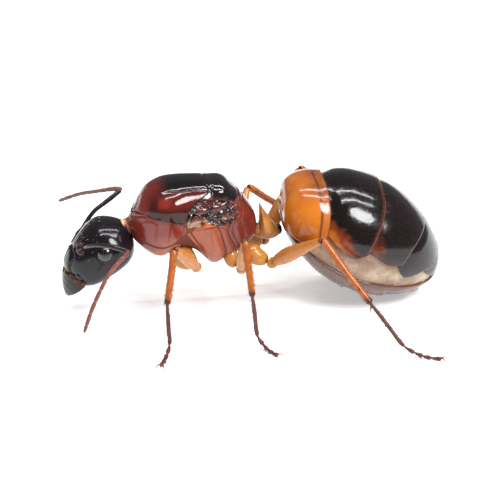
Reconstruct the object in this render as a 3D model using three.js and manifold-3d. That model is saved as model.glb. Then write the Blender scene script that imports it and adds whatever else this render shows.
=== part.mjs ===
// A queen carpenter ant that has shed her wings, standing still, at life size.
// Millimetres, +Z up, feet on z = 0. The head points along -X and the ant's left side along -Y.
// Each region of the body is a smooth blend of cross-sections, and thin cuts part it into the
// plates that a person names. Legs and feelers are limbs along smooth paths, 0.5 mm thick.

import * as THREE from 'three';
import { mergeVertices } from 'three/addons/utils/BufferGeometryUtils.js';
import Module from 'manifold-3d';

const wasm = await Module();
wasm.setup();

// Thin cut that parts neighbouring solids.
const CUT = 0.1;

// How far a limb's far end runs past the joint, so that the next limb is cut to sit against it.
const JOINT_LAP = 0.15;

// Facets round a body region and along it, then the same of an eye and of a limb.
const BODY_SIDES = 20;
const BODY_RINGS = 18;
const EYE_SIDES = 14;
const EYE_RINGS = 8;
const LIMB_SIDES = 8;
const LIMB_RINGS = 7;
const BENT_LIMB_RINGS = 11;

// Corners closer than this are one corner.
const SAME_CORNER = 1e-4;

// How square the ends of a limb are: 2 is a half circle and more is flatter.
const LIMB_BLUNT = 16;

// Head: the crown of its face, the slope of its long axis, and its sizes at equal steps from
// the crown to the mouth.
const CROWN = [-6.65, 0, 5.0];
const HEAD_SLOPE = THREE.MathUtils.degToRad(53);
const HEAD_LENGTH = 3.9;
const HEAD_DEPTH = 0.98;
const HEAD_FACE = [1.02, 1.31, 1.37, 1.39, 1.35, 1.3, 1.28, 1.1];
const HEAD_BACK = [0.84, 1.2, 1.29, 1.18, 0.99, 0.8, 0.56, 0.25];
const HEAD_HALF = [1.2, 1.55, 1.62, 1.6, 1.5, 1.34, 1.12, 0.8];
const HEAD_BLUNT = 3.6;

// On the head, measured down from the crown, out to the side and up from the face's own level.
const EYE_AT = { down: 1.33, out: 1.33, rise: -0.7 };
const EYE_SIZE = { long: 0.41, wide: 0.38, deep: 0.38 };
const SOCKET_AT = { down: 1.89, out: 0.79, rise: 0.1 };
const JAW_JOINT = { down: 3.2, out: 0.72, rise: -0.66 };
const JAW_BEND = { down: 3.9, out: 0.48, rise: -0.66 };
const JAW_TIP = { down: 4.44, out: 0.2, rise: -0.8 };
const JAW_RADIUS = [0.4, 0.4, 0.27];

// Antennae: the bends of the scape on the way from its socket, the elbow, and the bends of
// the flagellum on the way to its tip.
const FEELER_RADIUS = 0.25;
const ANTENNAE = {
  left: {
    scape: [[-7.68, -1.3, 3.9], [-7.2, -1.93, 4.23], [-6.63, -2.4, 4.33]],
    elbow: [-5.96, -2.75, 4.22],
    flagellum: [[-6.15, -2.95, 4.1], [-6.91, -3.3, 3.4], [-7.65, -3.62, 2.1], [-8.16, -3.8, 0.76]],
  },
  right: {
    scape: [[-7.6, 1.14, 3.9], [-7.12, 1.38, 4.43], [-6.5, 1.6, 4.8]],
    elbow: [-5.81, 1.85, 5.22],
    flagellum: [[-6.1, 2.1, 5.18], [-6.9, 2.7, 4.83], [-7.65, 3.4, 4.42], [-8.56, 4.2, 3.76]],
  },
};

// Trunk: its neck and waist ends and its sizes at equal steps between them.
const NECK_X = -5.78;
const WAIST_X = 0.34;
const TRUNK_MIDDLE = [4.3, 4.36, 4.42, 4.44, 4.46, 4.46, 4.4, 4.2, 3.9];
const TRUNK_UP = [0.7, 1.74, 2.0, 2.07, 2.05, 1.99, 1.86, 1.62, 1.35];
const TRUNK_DOWN = [0.85, 1.35, 1.6, 1.12, 1.36, 2.08, 1.95, 1.5, 0.85];
const TRUNK_HALF = [0.85, 1.25, 1.58, 1.65, 1.62, 1.53, 1.36, 1.12, 0.88];
const TRUNK_BLUNT = 5;
const TRUNK_SQUARE = 2.6;

// Seams of the trunk seen from the side, each a line through two (x, z) points.
const BACK_SEAM = [[-5.3, 5.32], [-0.4, 4.72]];
const SHIELD_SEAM = [[-3.15, 5.05], [-2.15, 6.6]];
const FLANK_SEAM = [[-3.15, 5.05], [-2.3, 2.6]];
const REAR_SEAM = [[-0.78, 6.0], [-0.42, 2.6]];

// Waist: the upright scale, from its foot to its crest, on a short stalk.
const SCALE_FOOT = [0.78, 0, 3.24];
const SCALE_CREST = [0.44, 0, 4.98];
const SCALE_FRONT = [0.45, 0.4, 0.28, 0.18, 0.16];
const SCALE_BACK = [0.62, 0.62, 0.47, 0.24, 0.16];
const SCALE_HALF = [0.42, 0.56, 0.62, 0.55, 0.4];
const SCALE_BLUNT = 5;
const STALK = [[0.1, 0, 3.74], [0.8, 0, 3.55], [1.4, 0, 3.62]];
const STALK_RADIUS = 0.34;

// Gaster: a sheared egg from the waist to the tip, parted along four leaning seams.
const GASTER_X = [1.24, 8.95];
const GASTER_MIDDLE = [4.85, 4.34, 3.88, 3.5, 3.18, 2.9, 2.62, 2.24, 1.86];
const GASTER_UP = 2.95;
const GASTER_DOWN = 2.82;
const GASTER_HALF = 3.0;
const GASTER_BLUNT = 2;
const GASTER_SEAMS = [
  [[3.2, 6.6], [2.2, 2.0]],
  [[6.25, 5.8], [4.3, 1.2]],
  [[8.1, 4.2], [6.0, 0.6]],
  [[8.84, 2.6], [7.5, 0.3]],
];

// Legs: thickness, and the joints of each leg from the body outwards. The right legs, turned
// away, stand further back than the left ones.
const COXA_RADIUS = { fore: 0.54, mid: 0.36, hind: 0.42 };
const COXA_TIP = 0.32;
const THIGH_RADIUS = { fore: 0.31, mid: 0.29, hind: 0.36 };
const THIGH_ROOT = 0.26;
const KNEE_RADIUS = 0.26;
const SHIN_RADIUS = 0.26;
const TARSUS_RADIUS = 0.25;
const FOOT_HEIGHT = 0.2;
const INSTEP_HEIGHT = 0.24;
const LEGS = {
  left_fore: {
    root: [-3.6, -0.8, 3.5], coxa: [-2.68, -1.12, 2.56], hip: [-2.7, -1.32, 2.55],
    knee: [-3.93, -3.5, 4.54], ankle: [-4.44, -4.65, 2.34],
    heel: [-4.38, -4.95, 0.5], toe: [-4.9, -6.2, FOOT_HEIGHT],
  },
  left_mid: {
    root: [-1.05, -0.6, 3.1], coxa: [-0.76, -1.06, 2.36], hip: [-0.58, -1.28, 2.3],
    knee: [-0.72, -3.5, 4.76], ankle: [-0.54, -4.65, 2.47],
    heel: [-0.32, -4.75, 0.55], toe: [0.42, -5.95, FOOT_HEIGHT],
  },
  left_hind: {
    root: [-0.2, -0.6, 3.1], coxa: [0.7, -1.02, 2.52], hip: [0.86, -1.28, 2.5],
    knee: [2.82, -3.5, 4.55], ankle: [4.81, -5.3, 2.07],
    heel: [6.12, -6.6, 0.5], toe: [7.7, -7.35, FOOT_HEIGHT],
  },
  right_fore: {
    root: [-3.6, 0.8, 3.5], coxa: [-2.7, 1.12, 2.6], hip: [-2.72, 1.32, 2.6],
    knee: [-3.1, 3.3, 4.4], ankle: [-3.2, 4.6, 2.2],
    heel: [-3.0, 5.0, 0.5], toe: [-3.0, 6.4, FOOT_HEIGHT],
  },
  right_mid: {
    root: [-1.05, 0.6, 3.1], coxa: [-0.76, 1.06, 2.38], hip: [-0.56, 1.26, 2.35],
    knee: [0.3, 3.0, 4.45], ankle: [2.2, 4.1, 2.75],
    heel: [3.2, 5.3, 0.55], toe: [4.2, 6.45, FOOT_HEIGHT],
  },
  right_hind: {
    root: [-0.2, 0.6, 3.1], coxa: [0.7, 1.02, 2.54], hip: [0.86, 1.28, 2.52],
    knee: [2.82, 3.35, 5.1], ankle: [5.1, 5.0, 2.9],
    heel: [6.3, 6.1, 0.6], toe: [7.6, 7.3, FOOT_HEIGHT],
  },
};

const COLOURS = {
  jet: 0x17110f,
  mahogany: 0x5a1f12,
  russet: 0x8a3a20,
  amber: 0xc47a22,
  honey: 0xb8702a,
  wine: 0x4a1d14,
  eye: 0x0c0a0a,
};

const vector = (xyz) => new THREE.Vector3(...xyz);

// Sizes at equal steps along a region, joined by a smooth curve in s from 0 to 1.
function along(sizes) {
  const curve = new THREE.SplineCurve(sizes.map((size, step) => new THREE.Vector2(step, size)));
  return (s) => curve.getPoint(s).y;
}

// A closed skin of rings: a unit sphere whose points are moved by place(s, across, up), where
// s runs from 0 at one pole to 1 at the other and (across, up) is a point of the unit circle.
function skin(sides, rings, place) {
  const sphere = new THREE.SphereGeometry(1, sides, rings);
  const points = sphere.attributes.position;
  for (let i = 0; i < points.count; i += 1) {
    const round = Math.hypot(points.getX(i), points.getZ(i)) || 1;
    const s = (1 - points.getY(i)) / 2;
    const moved = place(s, points.getX(i) / round, points.getZ(i) / round);
    points.setXYZ(i, moved.x, moved.y, moved.z);
  }
  return solid(sphere);
}

// A manifold solid with the shared corners of a geometry merged.
function solid(geometry) {
  const bare = new THREE.BufferGeometry();
  bare.setAttribute('position', geometry.attributes.position);
  bare.setIndex(geometry.index);
  const merged = mergeVertices(bare, SAME_CORNER);
  return new wasm.Manifold(new wasm.Mesh({
    numProp: 3,
    vertProperties: merged.attributes.position.array,
    triVerts: new Uint32Array(merged.index.array),
  }));
}

// A region of the body from one end to the other. Off its middle line it rises `up`, hangs
// `down` and spreads `half` to each side. `blunt` squares off its ends and `square` its
// cross-sections, where 2 is an ellipse; `grow` swells it.
function region({ from, to, side, middle, up, down, half, blunt, square = 2 }, grow = 0) {
  const lead = to.clone().sub(from).normalize();
  const rise = new THREE.Vector3().crossVectors(lead, side);
  const start = from.clone().addScaledVector(lead, -grow);
  const end = to.clone().addScaledVector(lead, grow);
  return skin(BODY_SIDES, BODY_RINGS, (s, across, lift) => {
    const full = Math.sqrt(1 - Math.abs(2 * s - 1) ** blunt);
    const reach = Math.sign(across) * Math.max(1 - Math.abs(lift) ** square, 0) ** (1 / square);
    const wide = (half(s) + grow) * full * reach;
    const high = middle(s) + ((lift > 0 ? up(s) : down(s)) + grow) * full * lift;
    return start.clone().lerp(end, s).addScaledVector(side, wide).addScaledVector(rise, high);
  });
}

// A limb with round ends along a smooth path; radius is a function along it.
function limb(path, radius, { rings = LIMB_RINGS, grow = 0 } = {}) {
  const curve = new THREE.CatmullRomCurve3(path.map(vector), false, 'centripetal');
  const forward = new THREE.Vector3(-1, 0, 0);
  return skin(LIMB_SIDES, rings, (s, across, lift) => {
    const lead = curve.getTangent(s);
    const side = new THREE.Vector3().crossVectors(lead, forward).normalize();
    const rise = new THREE.Vector3().crossVectors(lead, side);
    const r = (radius(s) + grow) * Math.sqrt(1 - Math.abs(2 * s - 1) ** LIMB_BLUNT);
    const bulge = r / Math.cos(Math.PI / LIMB_SIDES);
    return curve.getPoint(s).addScaledVector(side, bulge * across)
      .addScaledVector(rise, bulge * lift);
  });
}

// The end of a straight limb, run past its joint by the lap.
function lapped(from, to) {
  const lead = vector(to).sub(vector(from)).normalize();
  return vector(to).addScaledVector(lead, JOINT_LAP).toArray();
}

// Parts a body along a line seen from the side and leaves a thin cut: [above it, below it].
function part(body, [a, b]) {
  const normal = new THREE.Vector3(a[1] - b[1], 0, b[0] - a[0]).normalize();
  const offset = normal.x * a[0] + normal.z * a[1];
  const above = body.trimByPlane([normal.x, 0, normal.z], offset + CUT / 2);
  const below = body.trimByPlane([-normal.x, 0, -normal.z], CUT / 2 - offset);
  return [above, below];
}

const ant = new THREE.Group();

function add(name, body, colour, roughness = 0.3) {
  const mesh = body.getMesh();
  const geometry = new THREE.BufferGeometry();
  geometry.setAttribute('position', new THREE.BufferAttribute(mesh.vertProperties, 3));
  geometry.setIndex(new THREE.BufferAttribute(mesh.triVerts, 1));
  geometry.computeVertexNormals();
  const material = new THREE.MeshStandardMaterial({ color: COLOURS[colour], roughness, metalness: 0 });
  const node = new THREE.Mesh(geometry, material);
  node.name = name;
  ant.add(node);
}

// ---- Head: capsule, compound eyes and jaws --------------------------------------------------

const headDown = new THREE.Vector3(-Math.cos(HEAD_SLOPE), 0, -Math.sin(HEAD_SLOPE));
const headOut = new THREE.Vector3(0, -1, 0);
const headRise = new THREE.Vector3().crossVectors(headDown, headOut);

// A point on the head; side is 1 on the ant's left and -1 on its right.
function onHead({ down, out, rise }, side) {
  return vector(CROWN).addScaledVector(headDown, down).addScaledVector(headOut, out * side)
    .addScaledVector(headRise, rise);
}

const headMiddle = vector(CROWN).addScaledVector(headRise, -HEAD_DEPTH);
const headShape = {
  from: headMiddle,
  to: headMiddle.clone().addScaledVector(headDown, HEAD_LENGTH),
  side: headOut,
  middle: () => 0,
  up: along(HEAD_FACE),
  down: along(HEAD_BACK),
  half: along(HEAD_HALF),
  blunt: HEAD_BLUNT,
};

// A compound eye: an egg set into the side of the head, its long axis along the head's.
function eye(side, grow) {
  const centre = onHead(EYE_AT, side);
  return skin(EYE_SIDES, EYE_RINGS, (s, across, lift) => {
    const round = 2 * Math.sqrt(s * (1 - s));
    return centre.clone()
      .addScaledVector(headDown, (2 * s - 1) * (EYE_SIZE.long + grow))
      .addScaledVector(headOut, across * round * (EYE_SIZE.deep + grow))
      .addScaledVector(headRise, lift * round * (EYE_SIZE.wide + grow));
  });
}

// A jaw: a stout horn from its joint at the cheek to the tip, where the two jaws meet.
function jaw(side, grow) {
  const path = [JAW_JOINT, JAW_BEND, JAW_TIP].map((place) => onHead(place, side).toArray());
  const horn = limb(path, along(JAW_RADIUS), { grow });
  return grow ? horn : horn.trimByPlane([0, -side, 0], CUT / 2);
}

const wholeHead = region(headShape);
const sockets = [1, -1].flatMap((side) => [eye(side, CUT), jaw(side, CUT)]);
add('head', sockets.reduce((body, socket) => body.subtract(socket), wholeHead), 'jet', 0.22);
for (const [name, side] of [['left', 1], ['right', -1]]) {
  add(`eye_${name}`, eye(side, 0), 'eye', 0.15);
  add(`mandible_${name}`, jaw(side, 0), 'jet');
}

// ---- Trunk: collar, shield, rear shield, flanks and rear slope ------------------------------

const trunkShape = {
  from: new THREE.Vector3(NECK_X, 0, 0),
  to: new THREE.Vector3(WAIST_X, 0, 0),
  side: new THREE.Vector3(0, 1, 0),
  middle: along(TRUNK_MIDDLE),
  up: along(TRUNK_UP),
  down: along(TRUNK_DOWN),
  half: along(TRUNK_HALF),
  blunt: TRUNK_BLUNT,
  square: TRUNK_SQUARE,
};
const swollenHead = region(headShape, CUT);
const swollenTrunk = region(trunkShape, CUT);
const [propodeum, front] = part(region(trunkShape).subtract(swollenHead), REAR_SEAM);
const [back, belly] = part(front, BACK_SEAM);
const [scutum, scutellum] = part(back, SHIELD_SEAM);
const [mesopleuron, pronotum] = part(belly, FLANK_SEAM);
add('pronotum', pronotum, 'russet');
add('scutum', scutum, 'mahogany', 0.2);
add('scutellum', scutellum, 'jet', 0.2);
add('mesopleuron', mesopleuron, 'russet');
add('propodeum', propodeum, 'mahogany');

// ---- Gaster: five swollen rings from the waist to the tip -----------------------------------

const gasterShape = {
  from: new THREE.Vector3(GASTER_X[0], 0, 0),
  to: new THREE.Vector3(GASTER_X[1], 0, 0),
  side: new THREE.Vector3(0, 1, 0),
  middle: along(GASTER_MIDDLE),
  up: () => GASTER_UP,
  down: () => GASTER_DOWN,
  half: () => GASTER_HALF,
  blunt: GASTER_BLUNT,
};
let rest = region(gasterShape);
GASTER_SEAMS.forEach((seam, index) => {
  const [behind, ring] = part(rest, seam);
  add(`gaster_${index + 1}`, ring, index < 1 ? 'amber' : 'jet', 0.2);
  rest = behind;
});
add(`gaster_${GASTER_SEAMS.length + 1}`, rest, 'jet', 0.2);

// ---- Waist: an upright scale on its stalk ---------------------------------------------------

const scaleShape = {
  from: vector(SCALE_FOOT),
  to: vector(SCALE_CREST),
  side: new THREE.Vector3(0, 1, 0),
  middle: () => 0,
  up: along(SCALE_FRONT),
  down: along(SCALE_BACK),
  half: along(SCALE_HALF),
  blunt: SCALE_BLUNT,
};
const stalk = limb(STALK, () => STALK_RADIUS);
const swollenGaster = region(gasterShape, CUT);
const petiole = region(scaleShape).add(stalk).subtract(swollenTrunk).subtract(swollenGaster);
add('petiole', petiole, 'honey');

// ---- Antennae: scape and flagellum ----------------------------------------------------------

for (const [name, side] of [['left', 1], ['right', -1]]) {
  const { scape: bends, elbow, flagellum } = ANTENNAE[name];
  const socket = onHead(SOCKET_AT, side).toArray();
  const scapePath = [socket, ...bends, lapped(bends[bends.length - 1], elbow)];
  const scape = limb(scapePath, () => FEELER_RADIUS);
  const swollenScape = limb(scapePath, () => FEELER_RADIUS, { grow: CUT });
  const whip = limb([elbow, ...flagellum], () => FEELER_RADIUS, { rings: BENT_LIMB_RINGS });
  add(`scape_${name}`, scape.subtract(swollenHead), 'jet');
  add(`flagellum_${name}`, whip.subtract(swollenScape), 'wine');
}

// ---- Legs: coxa, femur, tibia and tarsus, each pair parted by a thin cut --------------------

function leg(name, { root, coxa, hip, knee, ankle, heel, toe }) {
  const sole = heel.map((value, i) => (value + toe[i]) / 2);
  const instep = [sole[0], sole[1], INSTEP_HEIGHT];
  const pair = name.split('_')[1];
  const coxaShape = along([COXA_RADIUS[pair], COXA_RADIUS[pair], COXA_TIP]);
  const thighShape = along([THIGH_ROOT, THIGH_RADIUS[pair], KNEE_RADIUS]);
  const thighPath = [hip, lapped(hip, knee)];
  const shinPath = [knee, lapped(knee, ankle)];
  const body = limb([root, coxa], coxaShape);
  const thigh = limb(thighPath, thighShape);
  const shin = limb(shinPath, () => SHIN_RADIUS);
  const tarsus = limb([ankle, heel, instep, toe], () => TARSUS_RADIUS, { rings: BENT_LIMB_RINGS });
  const swollenCoxa = limb([root, coxa], coxaShape, { grow: CUT });
  const swollenThigh = limb(thighPath, thighShape, { grow: CUT });
  const swollenShin = limb(shinPath, () => SHIN_RADIUS, { grow: CUT });
  add(`${name}_coxa`, body.subtract(swollenTrunk), 'amber');
  add(`${name}_femur`, thigh.subtract(swollenCoxa).subtract(swollenTrunk), 'amber');
  add(`${name}_tibia`, shin.subtract(swollenThigh), 'honey');
  add(`${name}_tarsus`, tarsus.subtract(swollenShin).trimByPlane([0, 0, 1], 0), 'wine', 0.4);
}

for (const [name, joints] of Object.entries(LEGS)) leg(name, joints);

export default ant;
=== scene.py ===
import bpy
import numpy as np
from mathutils import Matrix


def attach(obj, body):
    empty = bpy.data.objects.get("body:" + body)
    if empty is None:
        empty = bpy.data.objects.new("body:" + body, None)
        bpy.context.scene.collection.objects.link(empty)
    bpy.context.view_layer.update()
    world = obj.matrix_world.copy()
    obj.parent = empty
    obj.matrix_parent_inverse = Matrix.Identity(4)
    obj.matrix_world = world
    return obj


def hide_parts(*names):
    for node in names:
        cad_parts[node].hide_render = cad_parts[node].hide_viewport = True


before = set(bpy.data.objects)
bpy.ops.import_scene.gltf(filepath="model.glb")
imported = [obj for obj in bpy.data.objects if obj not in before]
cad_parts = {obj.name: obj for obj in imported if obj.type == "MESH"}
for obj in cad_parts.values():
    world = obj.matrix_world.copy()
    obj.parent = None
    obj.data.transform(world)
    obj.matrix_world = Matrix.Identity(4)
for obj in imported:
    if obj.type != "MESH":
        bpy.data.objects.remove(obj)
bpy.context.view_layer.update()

# A queen carpenter ant, standing, with the stubs of her shed wings. Every length below is in
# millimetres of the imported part's own frame: head towards -X, her left side towards -Y.


# ---- Head capsule -------------------------------------------------------------------------
# One hard shell of black cuticle from crown to mouth. It carries the raised shield over the
# mouth, two antenna sockets with a keel beside each, and a fine line down the face.

MM = 0.001
CROWN = np.array([-6.65, 0.0, 5.0])
SLOPE = np.radians(53)
DOWN = np.array([-np.cos(SLOPE), 0.0, -np.sin(SLOPE)])
LEFT = np.array([0.0, -1.0, 0.0])
RISE = np.cross(DOWN, LEFT)
UP = np.array([0.0, 0.0, 1.0])
REARWARD = np.array([1.0, 0.0, 0.0])

HEAD_LENGTH = 4.0
HEAD_DEPTH = 0.98
FACE = [1.02, 1.31, 1.37, 1.39, 1.35, 1.3, 1.28, 1.1]
NAPE = [0.84, 1.2, 1.29, 1.18, 0.99, 0.8, 0.56, 0.25]
CHEEK = [1.2, 1.55, 1.62, 1.6, 1.5, 1.34, 1.12, 0.8]
MOUTH = 0.9
SOCKET = (1.89, 0.79)
SHIELD = (2.96, 0.66)
EYE = np.array([1.33, 1.33, -0.7])


def spline(knots, s):
    """Catmull-Rom curve through knots at equal steps of s from 0 to 1, with its ends held."""
    knots = np.asarray(knots, float)
    last = len(knots) - 1
    place = np.clip(s, 0, 1) * last
    step = np.minimum(place.astype(int), last - 1)
    t = place - step
    a, b, c, d = (knots[np.clip(step + k, 0, last)] for k in (-1, 0, 1, 2))
    if knots.ndim > 1:
        t = t[..., None]
    cubic = (3 * b - a - 3 * c + d) * t ** 3 + (2 * a - 5 * b + 4 * c - d) * t ** 2
    return 0.5 * (2 * b + (c - a) * t + cubic)


def smooth(low, high, x):
    """0 at low, 1 at high and an eased S between them; low may be the larger."""
    t = np.clip((x - low) / (high - low), 0, 1)
    return t * t * (3 - 2 * t)


def bell(x, width):
    """exp(-(x / width) squared)."""
    return np.exp(-(x / width) ** 2)


def steps(count):
    """From 0 to 1, crowded towards both ends: half of 1 - cos."""
    return (1 - np.cos(np.linspace(0, np.pi, count))) / 2


def circle(count):
    """Equal turns round a ring, the last one short of the first."""
    return np.linspace(0, 2 * np.pi, count, endpoint=False)


def region(start, lead, side, rise, middle, up, down, half, blunt, square=2):
    """A surface of cross-sections: at s along lead, the ring leaves the middle line by up or
    down times sin(turn), and by half (1 - |sin(turn)|^square)^(1/square) to the side;
    (1 - |2s - 1|^blunt)^(1/2) rounds both ends."""
    def surface(s, turn):
        s, turn = np.broadcast_arrays(s, turn)
        full = np.sqrt(np.clip(1 - np.abs(2 * s - 1) ** blunt, 0, 1))
        lift = np.sin(turn)
        high = spline(middle, s) + np.where(lift > 0, spline(up, s), spline(down, s)) * full * lift
        reach = np.sign(np.cos(turn)) * np.clip(1 - np.abs(lift) ** square, 0, 1) ** (1 / square)
        wide = spline(half, s) * full * reach
        return start + s[..., None] * lead + wide[..., None] * side + high[..., None] * rise
    return surface


def normals(grid, closed=False):
    """Unit normals of a grid of points, from the cross product of its two tangents."""
    along = np.gradient(grid, axis=0)
    across = np.gradient(grid, axis=1)
    if closed:
        across = (np.roll(grid, -1, 1) - np.roll(grid, 1, 1)) / 2
    normal = np.cross(along, across)
    normal /= np.maximum(np.linalg.norm(normal, axis=-1, keepdims=True), 1e-12)
    outward = (normal * (grid - grid.mean((0, 1)))).sum()
    return normal if outward > 0 else -normal


def build(name, points, faces, marks=None):
    """A mesh object from points in millimetres and arrays of faces, turned to face outwards,
    with one float attribute for each of marks."""
    corners = np.concatenate([f.ravel() for f in faces])
    sizes = np.concatenate([np.full(len(f), f.shape[1]) for f in faces])
    fans = np.concatenate([f[:, [0, k, k + 1]] for f in faces for k in range(1, f.shape[1] - 1)])
    a, b, c = points[fans[:, 0]], points[fans[:, 1]], points[fans[:, 2]]
    starts = np.cumsum(sizes) - sizes
    if (a * np.cross(b, c)).sum() < 0:
        corners = np.concatenate([f[:, ::-1].ravel() for f in faces])
    mesh = bpy.data.meshes.new(name)
    mesh.vertices.add(len(points))
    mesh.vertices.foreach_set("co", (points * MM).astype(np.float32).ravel())
    mesh.loops.add(len(corners))
    mesh.loops.foreach_set("vertex_index", corners.astype(np.int32))
    mesh.polygons.add(len(sizes))
    mesh.polygons.foreach_set("loop_start", starts.astype(np.int32))
    mesh.update(calc_edges=True)
    mesh.validate()
    mesh.shade_smooth()
    for mark, values in (marks or {}).items():
        mesh.attributes.new(mark, "FLOAT", "POINT").data.foreach_set("value", values.astype(np.float32))
    piece = bpy.data.objects.new(name, mesh)
    bpy.context.scene.collection.objects.link(piece)
    return piece


def wrap(rings, marks=None):
    """Points, faces and marks of a closed skin over rings[i, j]; each end closes on its middle."""
    count, around = rings.shape[:2]
    points = np.concatenate([rings.reshape(-1, 3), [rings[0].mean(0), rings[-1].mean(0)]])
    here = np.arange(count * around).reshape(count, around)
    beside = np.roll(here, -1, 1)
    quads = np.stack([here[:-1], beside[:-1], beside[1:], here[1:]], -1)
    first, last = np.full((2, around), [[count * around], [count * around + 1]])
    ends = np.array([[first, beside[0], here[0]], [last, here[-1], beside[-1]]])
    ends = ends.swapaxes(1, 2).reshape(-1, 3)
    closed = {mark: np.concatenate([v.ravel(), [v[0].mean(), v[-1].mean()]])
              for mark, v in (marks or {}).items()}
    return points, [quads.reshape(-1, 4), ends], closed


def fit(piece, paint, slot, *nodes):
    """Gives a finished piece its material, hangs it on the root body and hides the parts it stands for.
    """
    piece.data.materials.append(paint.material)
    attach(piece, "root")
    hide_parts(*nodes)
    return piece


def shade(red, green, blue):
    """A colour given from 0 to 255 as it looks, turned into light: ((c + 0.055) / 1.055)^2.4."""
    c = np.array([red, green, blue]) / 255
    return tuple(np.where(c <= 0.04045, c / 12.92, ((c + 0.055) / 1.055) ** 2.4)) + (1.0,)


class Wire:
    """A shader socket; each operator adds the Math node that works it out."""

    def __init__(self, paint, socket):
        self.paint = paint
        self.socket = socket

    def math(self, operation, *values):
        return self.paint.node("ShaderNodeMath", {"operation": operation}, dict(enumerate(values)))

    def __add__(self, other):
        return self.math("ADD", self, other)

    def __sub__(self, other):
        return self.math("SUBTRACT", self, other)

    def __rsub__(self, other):
        return self.math("SUBTRACT", other, self)

    def __mul__(self, other):
        return self if other == 1 else self.math("MULTIPLY", self, other)

    def __abs__(self):
        return self.math("ABSOLUTE", self)

    __radd__ = __add__
    __rmul__ = __mul__


class Paint:
    """A procedural finish. `place` is millimetres on the animal; x, y and z are its parts."""

    def __init__(self, name, **fixed):
        self.material = bpy.data.materials.new(name)
        self.material.use_nodes = True
        self.tree = self.material.node_tree
        self.shader = self.tree.nodes["Principled BSDF"]
        for socket, value in fixed.items():
            self.shader.inputs[socket.replace("_", " ")].default_value = value
        metres = self.node("ShaderNodeTexCoord", output="Object")
        to_mm = {0: metres, "Scale": 1 / MM}
        self.place = self.node("ShaderNodeVectorMath", {"operation": "SCALE"}, to_mm)
        parts = (self.node("ShaderNodeSeparateXYZ", {}, {0: self.place}, k) for k in range(3))
        self.x, self.y, self.z = parts

    def node(self, kind, settings=None, inputs=None, output=0):
        """Adds a node: its settings first, then the values or links of its sockets."""
        made = self.tree.nodes.new(kind)
        for name, value in (settings or {}).items():
            setattr(made, name, value)
        for socket, value in (inputs or {}).items():
            if isinstance(value, Wire):
                self.tree.links.new(value.socket, made.inputs[socket])
            else:
                made.inputs[socket].default_value = value
        return Wire(self, made.outputs[output])

    def noise(self, scale, detail=2.0, stretch=(1, 1, 1)):
        """Soft noise from 0 to 1 with `scale` blotches to a millimetre, squeezed by stretch."""
        place = self.node("ShaderNodeMapping", {}, {"Vector": self.place, "Scale": stretch})
        return self.node("ShaderNodeTexNoise", {}, {"Vector": place, "Scale": scale, "Detail": detail})

    def cells(self, scale):
        """Distance to the middle of the nearest cell, with `scale` cells to a millimetre."""
        return self.node("ShaderNodeTexVoronoi", {}, {"Vector": self.place, "Scale": scale})

    def mark(self, name):
        """The number that a piece's mesh carries under this name."""
        return self.node("ShaderNodeAttribute", {"attribute_name": name}, {}, "Fac")

    def step(self, value, low, high):
        """0 below low, 1 above high and an eased S between them."""
        eased = {"interpolation_type": "SMOOTHSTEP"}
        return self.node("ShaderNodeMapRange", eased, {0: value, 1: low, 2: high})

    def fade(self, value, low, high):
        """1 below low, 0 above high."""
        return 1 - self.step(value, low, high)

    def mix(self, share, under, over):
        """One colour over another: (1 - share) * under + share * over."""
        under, over = (shade(*c) if isinstance(c, tuple) else c for c in (under, over))
        return self.node("ShaderNodeMix", {"data_type": "RGBA"}, {0: share, 6: under, 7: over}, 2)

    def ground(self, share, dark, pale):
        """Starts the colour: dark where share is 0, pale where it is 1."""
        self.colour = self.mix(share, dark, pale)

    def over(self, share, colour):
        """Lays a colour over those before it, as far as share goes."""
        self.colour = self.mix(share, self.colour, colour)

    def done(self, roughness, height, depth):
        """Links colour and roughness, and bumps the surface by `height` times depth."""
        relief = {"Strength": 1.0, "Distance": depth * MM, "Height": height}
        bump = self.node("ShaderNodeBump", {}, relief)
        for socket, wire in (("Base Color", self.colour), ("Roughness", roughness), ("Normal", bump)):
            self.tree.links.new(wire.socket, self.shader.inputs[socket])
        return self


def on_head(down, out, rise):
    """A point from its place down from the crown, out to the left and up from the face."""
    outer = np.multiply.outer
    return CROWN + outer(down, DOWN) + outer(out, LEFT) + outer(rise, RISE)


def face_relief(down, out, rise):
    """Height of the carving on the capsule, in millimetres, as a sum of bells and steps."""
    out = np.abs(out)
    face = smooth(-0.45, -0.1, rise)
    socket = np.hypot(down - SOCKET[0], out - SOCKET[1])
    relief = 0.045 * bell(socket - 0.22, 0.06) - 0.2 * bell(socket, 0.13)
    keel = 0.42 + 0.25 * smooth(2.3, 1.3, down)
    relief += 0.06 * bell(out - keel, 0.05) * smooth(2.55, 2.25, down) * smooth(1.1, 1.5, down)
    shield = (np.abs((down - SHIELD[0]) / 0.62) ** 3 + (out / SHIELD[1]) ** 3) ** (1 / 3)
    relief += 0.06 * smooth(1.05, 0.8, shield) - 0.05 * bell(shield - 1.04, 0.07)
    relief += 0.02 * bell(out, 0.04) * smooth(1, 0.8, shield)
    relief -= 0.02 * bell(out, 0.03) * smooth(0.9, 1.2, down) * smooth(2.3, 2.05, down)
    relief -= 0.05 * bell(np.hypot(down - 2.32, out * 0.8), 0.12)
    relief = relief * face
    orbit = np.hypot((down - EYE[0]) / 0.43, (rise - EYE[2]) / 0.4)
    relief -= smooth(0.9, 1.1, out) * 0.02 * bell(orbit - 0.97, 0.05)
    relief -= 0.042 * bell(np.hypot(rise + 0.8, down - 0.68), 0.45) * smooth(0.7, 1.1, out)
    hinge = np.sqrt((down - 3.2) ** 2 + (out - 1.0) ** 2 + (rise + 0.5) ** 2)
    relief += 0.06 * bell(hinge, 0.17) - 0.04 * bell(hinge - 0.25, 0.05)
    seam = smooth(-0.9, -1.2, rise) * smooth(0.6, 1.2, down)
    return relief - 0.03 * bell(out, 0.04) * seam


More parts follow.
